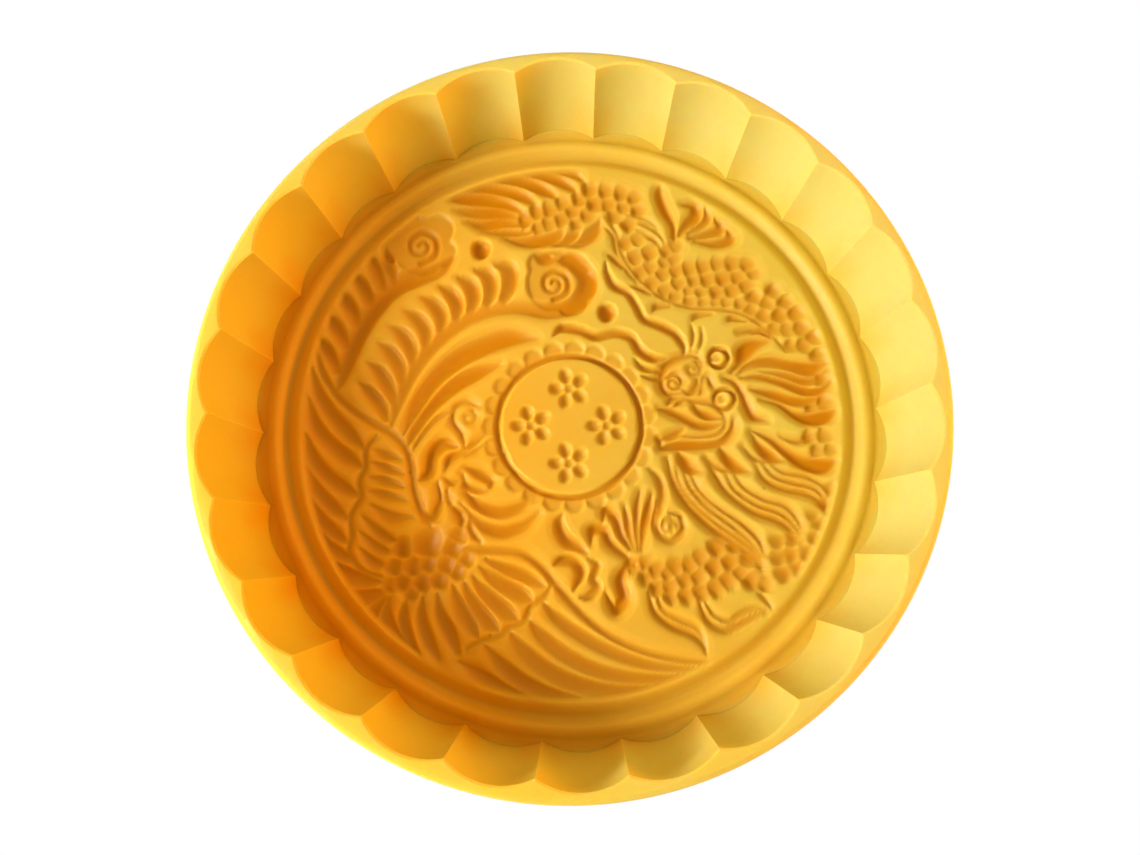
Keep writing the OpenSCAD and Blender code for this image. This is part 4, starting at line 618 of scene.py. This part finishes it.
TRIAL_ROW = [2.0, 0.3, [0, 0, 1], [5, 0, 3], [10, 0, 1]]
print("samples along a stroke of 10 mm:", len(smooth(TRIAL_ROW[2:])))

# %% [markdown]
# ## One stroke of the gouge
# A gouge leaves a round-bottomed channel. Each vertex near the stroke looks for its nearest
# sample, its side, and how far out it lies in half-widths, from 0 at the keel to 1 at the
# lip. The cut is deepest at the keel and falls away faster on the side that it leans to.
# Work is done in parts, so that the table of distances stays small.

# %% Depth of one stroke
STROKE_CRISP = 2.4
DEPTH_FOR_WIDTH, TAPER = 0.8, 0.6
BED_EDGE = 2.0
FAR_AWAY = 99.0
LARGEST_TABLE = 2000000


def stroke_depth(x, y, row, wide):
    depth, lean, q = row[0], row[1], smooth(row[2:])
    tangent = np.gradient(q[:, :2], axis=0)
    tangent /= np.maximum(np.linalg.norm(tangent, axis=1), 1e-9)[:, None]
    widest = q[:, 2].max()
    reach = widest * 0.75 + BED_EDGE + 0.4
    near = (x > q[:, 0].min() - reach) & (x < q[:, 0].max() + reach)
    near &= (y > q[:, 1].min() - reach) & (y < q[:, 1].max() + reach)
    index = np.flatnonzero(near)
    out, far = np.zeros_like(x), np.full_like(x, FAR_AWAY)
    for part in np.array_split(index, max(1, len(index) * len(q) // LARGEST_TABLE)):
        dx = x[part][:, None] - q[None, :, 0]
        dy = y[part][:, None] - q[None, :, 1]
        half = q[None, :, 2] * 0.5 * wide
        gap = np.hypot(dx, dy) - half
        k = gap.argmin(axis=1)
        rows = np.arange(len(part))
        side = tangent[k, 0] * dy[rows, k] - tangent[k, 1] * dx[rows, k]
        v = np.hypot(dx, dy)[rows, k] / half[0, k] * np.sign(side)
        t = np.where(v > lean, (v - lean) / (1 - lean), (lean - v) / (1 + lean))
        h = min(depth, widest * DEPTH_FOR_WIDTH) * (q[k, 2] / widest) ** TAPER
        out[part] = h * np.clip(1 - np.clip(t, 0, 1) ** STROKE_CRISP, 0, 1)
        far[part] = gap[rows, k]
    return out, far


print("depth near its middle:", stroke_depth(np.array([5.0]), np.array([0.4]), TRIAL_ROW, 1.3)[0].round(2))

# %% [markdown]
# ## One pit
# A scale on the cake is a pit in the mold, steep on one side and shallow on the other. A
# scaled sphere could be cut in, but its deepest point would be in the middle. Here the
# deepest point is moved along the bearing, which gives the overlapped look.

# %% Depth of one pit
DEEPEST_PIT = 2.6
PIT_SPREAD = 1.3


def pit_depth(x, y, px, py, r, bearing, ratio, crisp=2.1, lean=0.5):
    b = math.radians(bearing)
    dx, dy = (x - px) / (r * PIT_SPREAD), (y - py) / (r * PIT_SPREAD)
    along = dx * math.cos(b) + dy * math.sin(b)
    across = dx * math.sin(b) - dy * math.cos(b)
    u = np.where(along > lean, (along - lean) / (1 - lean), (lean - along) / (1 + lean))
    t = np.clip(np.hypot(u, across), 0, 1)
    return np.where(np.hypot(dx, dy) < 1, min(DEEPEST_PIT, r * ratio) * (1 - t ** crisp), 0)


print("depth at a pit's middle:", pit_depth(np.array([0.0]), np.array([0.0]), 0, 0, 2.4, 180, 0.84).round(2))

# %% [markdown]
# ## The medallion
# A round groove stands in the middle, with a ring of lobes behind it and four small
# blossoms in its field. Circles could be cut with Booleans. Working out the distance from
# the centre gives the same groove and keeps the grid whole.

# %% Cut of the medallion
MEDAL_Y, RING_R, RING_W = -1.6, 20.3, 1.9
RING_MID = RING_R + RING_W / 2
RING_DEPTH, RING_OPEN, RING_CRISP = 2.1, 1.3, 3.5
LOBES, LOBE_R, LOBE_DEPTH, LOBE_OUT, LOBE_CRISP = 23, 3.3, 0.95, 0.5, 7
BLOSSOMS, BLOSSOM_R, HEART_R = 4, 11.2, 1.3
PETALS, PETAL_OUT, PETAL_LONG, PETAL_BROAD = 5, 3.9, 2.5, 2.0
PETAL_DEPTH, PETAL_CRISP = 1.5, 3


def medallion_depth(x, y):
    rho = np.hypot(x, y - MEDAL_Y)
    off = np.abs(rho - RING_R - RING_W / 2) / (RING_W / 2 * RING_OPEN)
    out = RING_DEPTH * np.clip(1 - off ** RING_CRISP, 0, 1)
    for i in range(LOBES):
        a = 2 * math.pi / LOBES * (i + 0.5)
        r = RING_R + RING_W + LOBE_OUT
        lx, ly = r * math.cos(a), MEDAL_Y + r * math.sin(a)
        d = np.hypot(x - lx, y - ly) / LOBE_R
        lobe = LOBE_DEPTH * np.clip(1 - d ** LOBE_CRISP, 0, 1)
        out = np.maximum(out, np.where(rho > RING_MID, lobe, 0))
    for i in range(BLOSSOMS):
        a = i * math.pi / 2
        cx, cy = BLOSSOM_R * math.cos(a), MEDAL_Y + BLOSSOM_R * math.sin(a)
        out = np.maximum(out, blossom_depth(x, y, cx, cy))
    return out


def blossom_depth(x, y, cx, cy):
    out = pit_depth(x, y, cx, cy, HEART_R, 180, 0.8, crisp=3, lean=0)
    for i in range(PETALS):
        a = 2 * math.pi / PETALS * (i + 0.5)
        ca, sa = math.cos(a), math.sin(a)
        u = (x - cx) * ca + (y - cy) * sa
        w = -(x - cx) * sa + (y - cy) * ca
        d = np.hypot((u - PETAL_OUT) / PETAL_LONG, w / PETAL_BROAD)
        out = np.maximum(out, PETAL_DEPTH * np.clip(1 - d ** PETAL_CRISP, 0, 1))
    return out


print("ring groove depth:", medallion_depth(np.array([RING_MID]), np.array([MEDAL_Y])).round(2))

# %% [markdown]
# ## The whole relief
# Where cuts overlap, the deeper one wins, which leaves the sharp ridges between scales.
# Adding the cuts up would dig holes at each crossing. Beds are joined in the same way, with
# a soft edge, so the land between a group's strokes is lower than the flat floor.

# %% Depth of the carving
PAD_DEPTH, PAD_EDGE = 1.1, 0.9
SCALE_RATIO, SCALE_BED, SCALE_REACH = 0.84, 0.35, 1.2
HOLE_SHRINK = 0.85
CUT_SHARE = 0.8
EYE_DEPTH, EYE_HALF = 2.1, 1.1
BUBBLE_DEPTH = 0.9


def edge(far, reach):
    t = np.clip(1 - far / reach, 0, 1)
    return t * t * (3 - 2 * t)


def carving_depth(x, y):
    out, bed = medallion_depth(x, y), np.zeros_like(x)
    for px, py, r in PADS:
        bed = np.maximum(bed, PAD_DEPTH * edge(np.hypot(x - px, y - py) - r, PAD_EDGE))
    for rows, wide, sunk in CUTS:
        for row in rows:
            cut, far = stroke_depth(x, y, row, wide)
            out = np.maximum(out, cut)
            bed = np.maximum(bed, sunk * edge(far, BED_EDGE))
    for rows, bearing in PITS:
        for px, py, r in rows:
            out = np.maximum(out, pit_depth(x, y, px, py, r, bearing, SCALE_RATIO))
            bed = np.maximum(bed, SCALE_BED * edge(np.hypot(x - px, y - py) - r * SCALE_REACH, BED_EDGE))
    for rows, bearing in HOLES:
        for px, py, r in rows:
            out = np.maximum(out, pit_depth(x, y, px, py, r * HOLE_SHRINK, bearing, 1, crisp=4, lean=0.1))
    out = np.maximum(out, bed + CUT_SHARE * out)
    for ex, ey, r in EYES:
        off = np.abs(np.hypot(x - ex, y - ey) - r) / EYE_HALF
        out = np.maximum(out, EYE_DEPTH * np.clip(1 - off ** 2, 0, 1))
    for bx, by, r in BUBBLES:
        off = np.hypot(x - bx, y - by) / r
        out = np.maximum(out, out + BUBBLE_DEPTH * np.clip(1 - off ** 2, 0, 1))
    return out


print("depth at the middle of the disc:", carving_depth(np.array([0.0]), np.array([MEDAL_Y])).round(2))

# %% [markdown]
# ## The disc
# The carved floor needs small faces of one size. A circle filled as a fan would crowd them
# at the centre, so a square grid is bent into a disc, square ring by square ring. Its edge
# then has 1,040 vertices, 40 for each flute. Moving the vertices is the carving.

# %% Grid bent into a disc, then carved
SIDE = 260
PLAIN_EDGE = 0.3

bm = bmesh.new()
bmesh.ops.create_grid(bm, x_segments=SIDE, y_segments=SIDE, size=1.0)
verts = list(bm.verts)
co = np.array([v.co[:2] for v in verts])
big = np.abs(co[:, 0]) >= np.abs(co[:, 1])
s = np.where(big, co[:, 0], co[:, 1])
other = np.where(big, co[:, 1], co[:, 0])
angle = np.pi / 4 * other / np.where(np.abs(s) < 1e-9, 1, s)
spin = math.radians(TURN)
px = np.where(big, s * np.cos(angle), s * np.sin(angle)) * DISC_R
py = np.where(big, s * np.sin(angle), s * np.cos(angle)) * DISC_R
gx, gy = px * math.cos(spin) - py * math.sin(spin), px * math.sin(spin) + py * math.cos(spin)
cut = carving_depth(gx, gy)
cut *= np.clip((DISC_R - PLAIN_EDGE - np.hypot(gx, gy)) / (2 * PLAIN_EDGE), 0, 1)
for v, x, y, h in zip(verts, gx, gy, cut):
    v.co = (x, y, FLOOR_Z - h)
print("disc vertices:", len(verts), "deepest cut:", round(float(cut.max()), 2))

# %% [markdown]
# ## The flutes
# The wall is pleated: shallow arcs meet in sharp upright edges, and they lean out a little
# so that the cake comes free. Cylinders could be taken out of the wall with Booleans. Here
# a function gives the wall's radius at any angle, so that rings of vertices can follow it.

# %% Radius of the fluted wall
CUSP_R, BOW = 93.3, 3.7
FOOT_CUSP, FOOT_BOW = 90.7, 3.4


def flute_radius(angle, cusp, bow):
    step = math.pi / FLUTES
    half = cusp * math.sin(step)
    big = (half ** 2 + bow ** 2) / (2 * bow)
    mid = cusp * math.cos(step) + bow - big
    a = (angle - spin) % (2 * step) - step
    return mid * math.cos(a) + math.sqrt(max(big ** 2 - (mid * math.sin(a)) ** 2, 0))


def foot(a):
    return flute_radius(a, FOOT_CUSP, FOOT_BOW)


def lip(a):
    return flute_radius(a, CUSP_R, BOW)


print("wall at a flute's middle: foot", round(foot(spin + math.pi / FLUTES), 1),
      "lip", round(lip(spin + math.pi / FLUTES), 1))

# %% [markdown]
# ## Rings of the floor
# Round the disc the floor drops over a shoulder into a hollow and rises to a bead, which
# gives the cake its step. A turned profile is often made with Spin. Rings that are extruded
# from the disc's own edge were chosen, because then the disc and the cup are one mesh.

# %% Rings from the disc to the bead
SHOULDER_RINGS, BEAD_RINGS = 6, 8
HOLLOW_HALF = 0.6
DIP_END, DIP_EASE, BEAD_FULL = 2.4, 1.5, 0.8

rings = []
for i in range(1, SHOULDER_RINGS + 1):
    t = i / SHOULDER_RINGS
    fall = COVE_H * (1 - math.cos(math.pi * t)) / 2
    rings.append((DISC_R + (COVE_R - HOLLOW_HALF - DISC_R) * t, FLOOR_Z - fall))
for i in range(1, BEAD_RINGS + 1):
    t = i / BEAD_RINGS
    dip = max(0, 1 - DIP_END * t) ** DIP_EASE * (COVE_H - BAY_DROP)
    rings.append((COVE_R + (BEAD_R - COVE_R) * t, BAY_Z - dip + BEAD_H * math.sin(math.pi * t) ** BEAD_FULL))
print("rings from the disc to the bead:", len(rings))

# %% [markdown]
# ## Rings of the wall
# From the bead the rings cross the bays, climb the flutes, ease over the lip, roll round the
# rim and come down the plain outer wall. Each ring is a small function from an angle to a
# radius and a height, so fluted and round rings can follow one another.

# %% Rings from the bead to the underside
LIP_EASE = 0.7
ROLL, ROLL_RINGS = 3.2, 5


def wall_ring(t):
    return lambda a: (foot(a) + (lip(a) - foot(a)) * t, BAY_Z + (MOLD_H - LIP_EASE - BAY_Z) * t)


def roll_ring(t, at_least):
    r, z = RIM_R - ROLL + ROLL * math.cos(t), MOLD_H - ROLL + ROLL * math.sin(t)
    return lambda a: (max(r, at_least(a)), z)


places = [(lambda a, r=r, z=z: (r, z)) for r, z in rings]
places += [lambda a: (BEAD_R + (foot(a) - BEAD_R) * 0.5, BAY_Z), lambda a: (foot(a), BAY_Z)]
places += [wall_ring(t) for t in (0.012, 0.5, 0.97)]
places += [lambda a: (lip(a) + 0.12, MOLD_H - 0.3), lambda a: (lip(a) + LIP_EASE, MOLD_H)]
places += [roll_ring(math.radians(90), lambda a: lip(a) + 0.9)]
places += [roll_ring(math.radians(90 - 22.5 * i), lambda a: 0) for i in range(1, ROLL_RINGS)]
places += [lambda a, r=r, z=z: (RIM_R - r, z) for r, z in ((3.0, 2.5), (3.8, 0.7), (5.5, 0.0))]
print("rings in all:", len(places))

# %% [markdown]
# ## The cup
# The open edge of the mesh is extruded once for each ring and set in its place, and the last
# ring is filled to make the underside. Extruding an edge also makes the faces that join it
# to its copy, so nothing has to be bridged or merged afterwards.

# %% Extrude ring by ring
def rim_edges():
    return [e for e in bm.edges if len(e.link_faces) == 1]


def put_ring(edges, place):
    made = bmesh.ops.extrude_edge_only(bm, edges=edges)["geom"]
    for v in (g for g in made if isinstance(g, bmesh.types.BMVert)):
        a = math.atan2(v.co.y, v.co.x)
        r, z = place(a)
        v.co = (r * math.cos(a), r * math.sin(a), z)


for place in places:
    put_ring(rim_edges(), place)
bmesh.ops.contextual_create(bm, geom=rim_edges())
print("faces in the mold:", len(bm.faces))

# %% [markdown]
# ## Shading of the edges
# Silicone copies its master with soft skin and a few crisp lines. All faces are smooth, and
# the lines between flutes and round the wall's foot are marked sharp where faces meet at a
# steep angle. A Bevel modifier would add faces along every small ridge of the carving.

# %% Mesh object
SHARP_ANGLE, NEVER = 0.35, 9.0

bmesh.ops.recalc_face_normals(bm, faces=bm.faces)
for f in bm.faces:
    f.smooth = True
for e in bm.edges:
    out = min(math.hypot(*v.co[:2]) for v in e.verts)
    limit = NEVER if out < BEAD_R + 0.3 else SHARP_ANGLE
    e.smooth = not (len(e.link_faces) == 2 and e.calc_face_angle(0) > limit)
bmesh.ops.scale(bm, vec=(0.001, 0.001, 0.001), verts=bm.verts)
mesh = bpy.data.meshes.new("mold_silicone")
bm.to_mesh(mesh)
bm.free()
mold = bpy.data.objects.new("mold_silicone", mesh)
bpy.context.collection.objects.link(mold)
print("triangles:", sum(len(p.vertices) - 2 for p in mesh.polygons))

# %% [markdown]
# ## Shader maths
# A material is a net of nodes, and a net of Math nodes is hard to read. This small class
# wraps a socket, so that plain Python such as 1 - mask adds the Math nodes by itself. Every
# other node comes from its method called node: settings are set first, then sockets.

# %% A socket that can be reckoned with
class Val:
    def __init__(self, socket):
        self.socket = socket

    @staticmethod
    def feed(slot, value):
        if isinstance(value, Val):
            slot.id_data.links.new(value.socket, slot)
        else:
            slot.default_value = value

    @staticmethod
    def node(tree, kind, settings=None, sockets=None, out=0):
        made = tree.nodes.new(kind)
        for name, value in (settings or {}).items():
            setattr(made, name, value)
        for name, value in (sockets or {}).items():
            Val.feed(made.inputs[name], value)
        return Val(made.outputs[out])

    def math(self, kind, *values):
        return Val.node(self.socket.id_data, "ShaderNodeMath", {"operation": kind}, dict(enumerate(values)))

    def __add__(self, other):
        return self.math("ADD", self, other)

    def __radd__(self, other):
        return self.math("ADD", other, self)

    def __sub__(self, other):
        return self.math("SUBTRACT", self, other)

    def __rsub__(self, other):
        return self.math("SUBTRACT", other, self)

    def __mul__(self, other):
        return self.math("MULTIPLY", self, other)

    def __rmul__(self, other):
        return self.math("MULTIPLY", other, self)

    def greater(self, other):
        return self.math("MAXIMUM", self, other)

    def clamp(self):
        return self.math("MINIMUM", self.greater(0.0), 1.0)

    def mix(self, a, b):
        return Val.node(self.socket.id_data, "ShaderNodeMix", {"data_type": "RGBA"}, {0: self, 6: a, 7: b}, 2)


print("operators ready:", [name for name in vars(Val) if name.startswith("__r")])

# %% [markdown]
# ## Where the painted shade, glow and sheen go
# The cuts are painted a deeper orange as painted shade, the wall and rim paler as painted
# sheen with a painted glow, and the silicone is never quite even. Weight painting could mark
# those places. Object coordinates do it with no painting: height tells cut from wall, distance
# from the axis tells inside from outside, and a soft noise adds the cloudiness. These lengths are metres, as
# Blender sees them.

# %% Masks for the painted shade, glow and sheen
CUT_TOP, CUT_GAIN = 0.0104, 430.0
WALL_FOOT, WALL_GAIN = 0.011, 60.0
OUTSIDE_R, OUTSIDE_GAIN = 0.092, 400.0
UNDER_TOP, UNDER_GAIN = 0.005, 1000.0
CARVED_R, CARVED_GAIN = 0.0803, 1500.0

mat = bpy.data.materials.new("amber_silicone")
mat.use_nodes = True
tree = mat.node_tree
spot = Val.node(tree, "ShaderNodeTexCoord", out="Object")
split = Val.node(tree, "ShaderNodeSeparateXYZ", {}, {"Vector": spot}).socket.node
east, north, height = (Val(socket) for socket in split.outputs)
flat = Val.node(tree, "ShaderNodeVectorMath", {"operation": "MULTIPLY"}, {0: spot, 1: (1, 1, 0)})
radius = Val.node(tree, "ShaderNodeVectorMath", {"operation": "LENGTH"}, {0: flat}, "Value")
cloud = Val.node(tree, "ShaderNodeTexNoise", {}, {"Vector": spot, "Scale": 28.0, "Detail": 3.0})
under = ((UNDER_TOP - height) * UNDER_GAIN).clamp()
outer = ((radius - OUTSIDE_R) * OUTSIDE_GAIN).clamp().greater(under)
carved = ((CARVED_R - radius) * CARVED_GAIN).clamp()
# Painted shade in the cuts below the floor, weaker round the disc's edge and none outside
painted_shade_in_cuts = ((CUT_TOP - height) * CUT_GAIN).clamp() * (1.0 - outer) * (carved * 0.7 + 0.3)
# The wall, the rim and the outside, which take the painted glow and sheen
high = ((height - WALL_FOOT) * WALL_GAIN).clamp().greater(outer)
print("mask nodes:", len(tree.nodes))

# %% [markdown]
# ## Colours of the silicone, with painted light and shade
# Light comes through the wall on the left and falls on the wall on the right, so painted
# light makes the amber paler from the lower left to the upper right. A gradient lamp could
# do it for one view only. Painted into the material's colours, it looks the same from every side.

# %% Colours of the silicone, with painted light and shade
# Amber painted in shade and painted lit, then painted shade for the cuts
SHADED_AMBER, LIT_AMBER, PAINTED_SHADE = (0.74, 0.36, 0.003, 1), (0.73, 0.56, 0.10, 1), (0.62, 0.25, 0.001, 1)
# A painted glow for the wall where light passes through, and a painted sheen for the lit wall and rim
PAINTED_GLOW, RIM_SHEEN = (0.72, 0.56, 0.05, 1), (0.70, 0.65, 0.20, 1)
EAST_SHARE, NORTH_SHARE, CLOUD_SHARE, PALE_START = 5.0, 2.8, 0.8, 0.15

# Painted light from the lower left to the upper right, with cloudy noise mixed in
painted_light_and_cloud = (east * EAST_SHARE + north * NORTH_SHARE + cloud * CLOUD_SHARE + PALE_START).clamp()
# Amber painted shaded on the lower left and lit on the upper right
body = painted_light_and_cloud.mix(SHADED_AMBER, LIT_AMBER)
# Wall and rim: painted glow on the shaded lower left, painted sheen on the lit upper right
painted_glow_and_sheen = painted_light_and_cloud.mix(PAINTED_GLOW, RIM_SHEEN)
# Painted shade in the cuts, then the painted glow and sheen over the wall and rim
tint = (high * 0.9).mix(painted_shade_in_cuts.mix(body, PAINTED_SHADE), painted_glow_and_sheen)
print("colour nodes:", len(tree.nodes))

# %% [markdown]
# ## Skin of the silicone
# Light soaks in a couple of millimetres and comes out warm, with a satin skin over it. Glass
# or a see-through shader would show the inside, which silicone this thick doesn't. So it is
# subsurface scattering that lets red travel furthest, a middling roughness, and a faint
# grain as a bump.

# %% Skin of the silicone
shader = tree.nodes["Principled BSDF"]
grain = Val.node(tree, "ShaderNodeTexNoise", {}, {"Vector": spot, "Scale": 900.0, "Detail": 2.0})
skin = Val.node(tree, "ShaderNodeBump", {}, {"Strength": 0.12, "Distance": 0.0002, "Height": grain})
for name, value in {
    "Base Color": tint, "Roughness": cloud * 0.10 + 0.36, "Normal": skin,
    "IOR": 1.41, "Specular IOR Level": 0.22, "Subsurface Weight": 1.0,
    "Subsurface Radius": (1.0, 0.5, 0.1), "Subsurface Scale": 0.0018,
}.items():
    Val.feed(shader.inputs[name], value)
mesh.materials.append(mat)
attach(mold, "root")
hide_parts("mold")
print("material nodes:", len(tree.nodes))

# %% [markdown]
# ## Floor
# The mold lies on a white sheet that melts into a white background. A brighter lamp would
# bleach the mold as well, so the sheet is plain white to the camera and a pale, rough
# surface to everything else. It lies a hair below the underside, so the two faces never
# fight for the same place.

# %% Floor
FLOOR_HALF, FLOOR_DROP = 1.6, 0.0003

bm = bmesh.new()
bmesh.ops.create_grid(bm, x_segments=2, y_segments=2, size=FLOOR_HALF)
bmesh.ops.translate(bm, vec=(0, 0, -FLOOR_DROP), verts=bm.verts)
floor_mesh = bpy.data.meshes.new("floor")
bm.to_mesh(floor_mesh)
bm.free()
floor = bpy.data.objects.new("floor", floor_mesh)
bpy.context.collection.objects.link(floor)
floor_mat = bpy.data.materials.new("pale_floor")
floor_mat.use_nodes = True
floor_tree = floor_mat.node_tree
floor_shader = floor_tree.nodes["Principled BSDF"]
Val.feed(floor_shader.inputs["Base Color"], (0.93, 0.93, 0.93, 1))
Val.feed(floor_shader.inputs["Roughness"], 0.8)
white = Val.node(floor_tree, "ShaderNodeEmission", {}, {"Color": (1, 1, 1, 1), "Strength": 1.0})
seen = Val.node(floor_tree, "ShaderNodeLightPath", out="Is Camera Ray")
blend = Val.node(floor_tree, "ShaderNodeMixShader", {}, {0: seen, 1: Val(floor_shader.outputs[0]), 2: white})
Val.feed(floor_tree.nodes["Material Output"].inputs["Surface"], blend)
floor_mesh.materials.append(floor_mat)
print("floor laid,", 2 * FLOOR_HALF, "m wide")

# %% [markdown]
# ## World
# Light that has bounced about inside translucent amber is warm. So the world is white to
# the camera, and a gentle warm light to every other ray. A picture of a room would light
# the mold too, but a plain colour keeps the shadows in the carving even.

# %% World
AMBIENT, WHITE = (1, 0.75, 0.32, 1), (1, 1, 1, 1)
AMBIENT_STRENGTH = 0.62

world = bpy.data.worlds.new("studio")
bpy.context.scene.world = world
world.use_nodes = True
world_tree = world.node_tree
ray = Val.node(world_tree, "ShaderNodeLightPath", out="Is Camera Ray")
sky = world_tree.nodes["Background"].inputs
Val.feed(sky["Color"], ray.mix(AMBIENT, WHITE))
Val.feed(sky["Strength"], ray * (1 - AMBIENT_STRENGTH) + AMBIENT_STRENGTH)
print("ambient strength:", AMBIENT_STRENGTH)

# %% [markdown]
# ## Lamps
# The bright right-hand wall shows that the key light is a soft box to the left and a little
# below the picture. The left wall glows orange because light passes through it, so a small
# orange lamp shines on it from the right. True light through a thick wall would need many
# more samples for the same look.

# %% Lamps
AIM = Vector((0, 0, 0.02))


def soft_box(name, where, size, watts, colour=(1, 1, 1)):
    lamp = bpy.data.lights.new(name, "AREA")
    lamp.shape, lamp.size, lamp.energy, lamp.color = "DISK", size, watts, colour
    obj = bpy.data.objects.new(name, lamp)
    obj.location = where
    obj.rotation_euler = (AIM - Vector(where)).to_track_quat("-Z", "Y").to_euler()
    bpy.context.collection.objects.link(obj)


soft_box("key", (-0.62, -0.22, 0.42), 0.24, 6.9)
soft_box("fill", (0.5, 0.5, 0.9), 0.6, 0.6)
soft_box("glow", (0.6, 0.05, 0.16), 0.2, 3.6, (1.0, 0.36, 0.02))

# %% [markdown]
# ## Camera
# The rim and the floor of a cup shift against each other as the camera leans, and that gave
# the distance, the tilt and the swing. They could be found by eye in the viewport, but
# measuring the ellipses of the photograph was surer. REACH and the shifts are millimetres,
# the angles are radians, and FOCAL is in pixels of the photograph.

# %% Camera, as measured from the photograph
REACH, TILT, SWING, FOCAL, SHIFT_X, SHIFT_Y = 217, 0.176, 0.074, 845, 0.66, -7.8
PHOTO_WIDTH, SENSOR = 1140, 36

back = Vector((math.sin(SWING) * math.sin(TILT), -math.cos(SWING) * math.sin(TILT), math.cos(TILT)))
up = Vector((0, 1, 0)) - back * back.y
up.normalize()
right = up.cross(back)
cam_data = bpy.data.cameras.new("photo_camera")
cam_data.sensor_width = SENSOR
cam_data.lens = FOCAL / PHOTO_WIDTH * SENSOR
cam_data.clip_start = 0.01
cam = bpy.data.objects.new("photo_camera", cam_data)
eye_point = back * REACH + Vector((SHIFT_X, SHIFT_Y, MOLD_H))
facing = Matrix((right, up, back)).transposed()
cam.matrix_world = Matrix.Translation(eye_point * 0.001) @ facing.to_4x4()
bpy.context.collection.objects.link(cam)
bpy.context.scene.camera = cam
bpy.context.scene.view_settings.view_transform = "Standard"
print("camera at", [round(v, 3) for v in cam.location])

# %% [markdown]
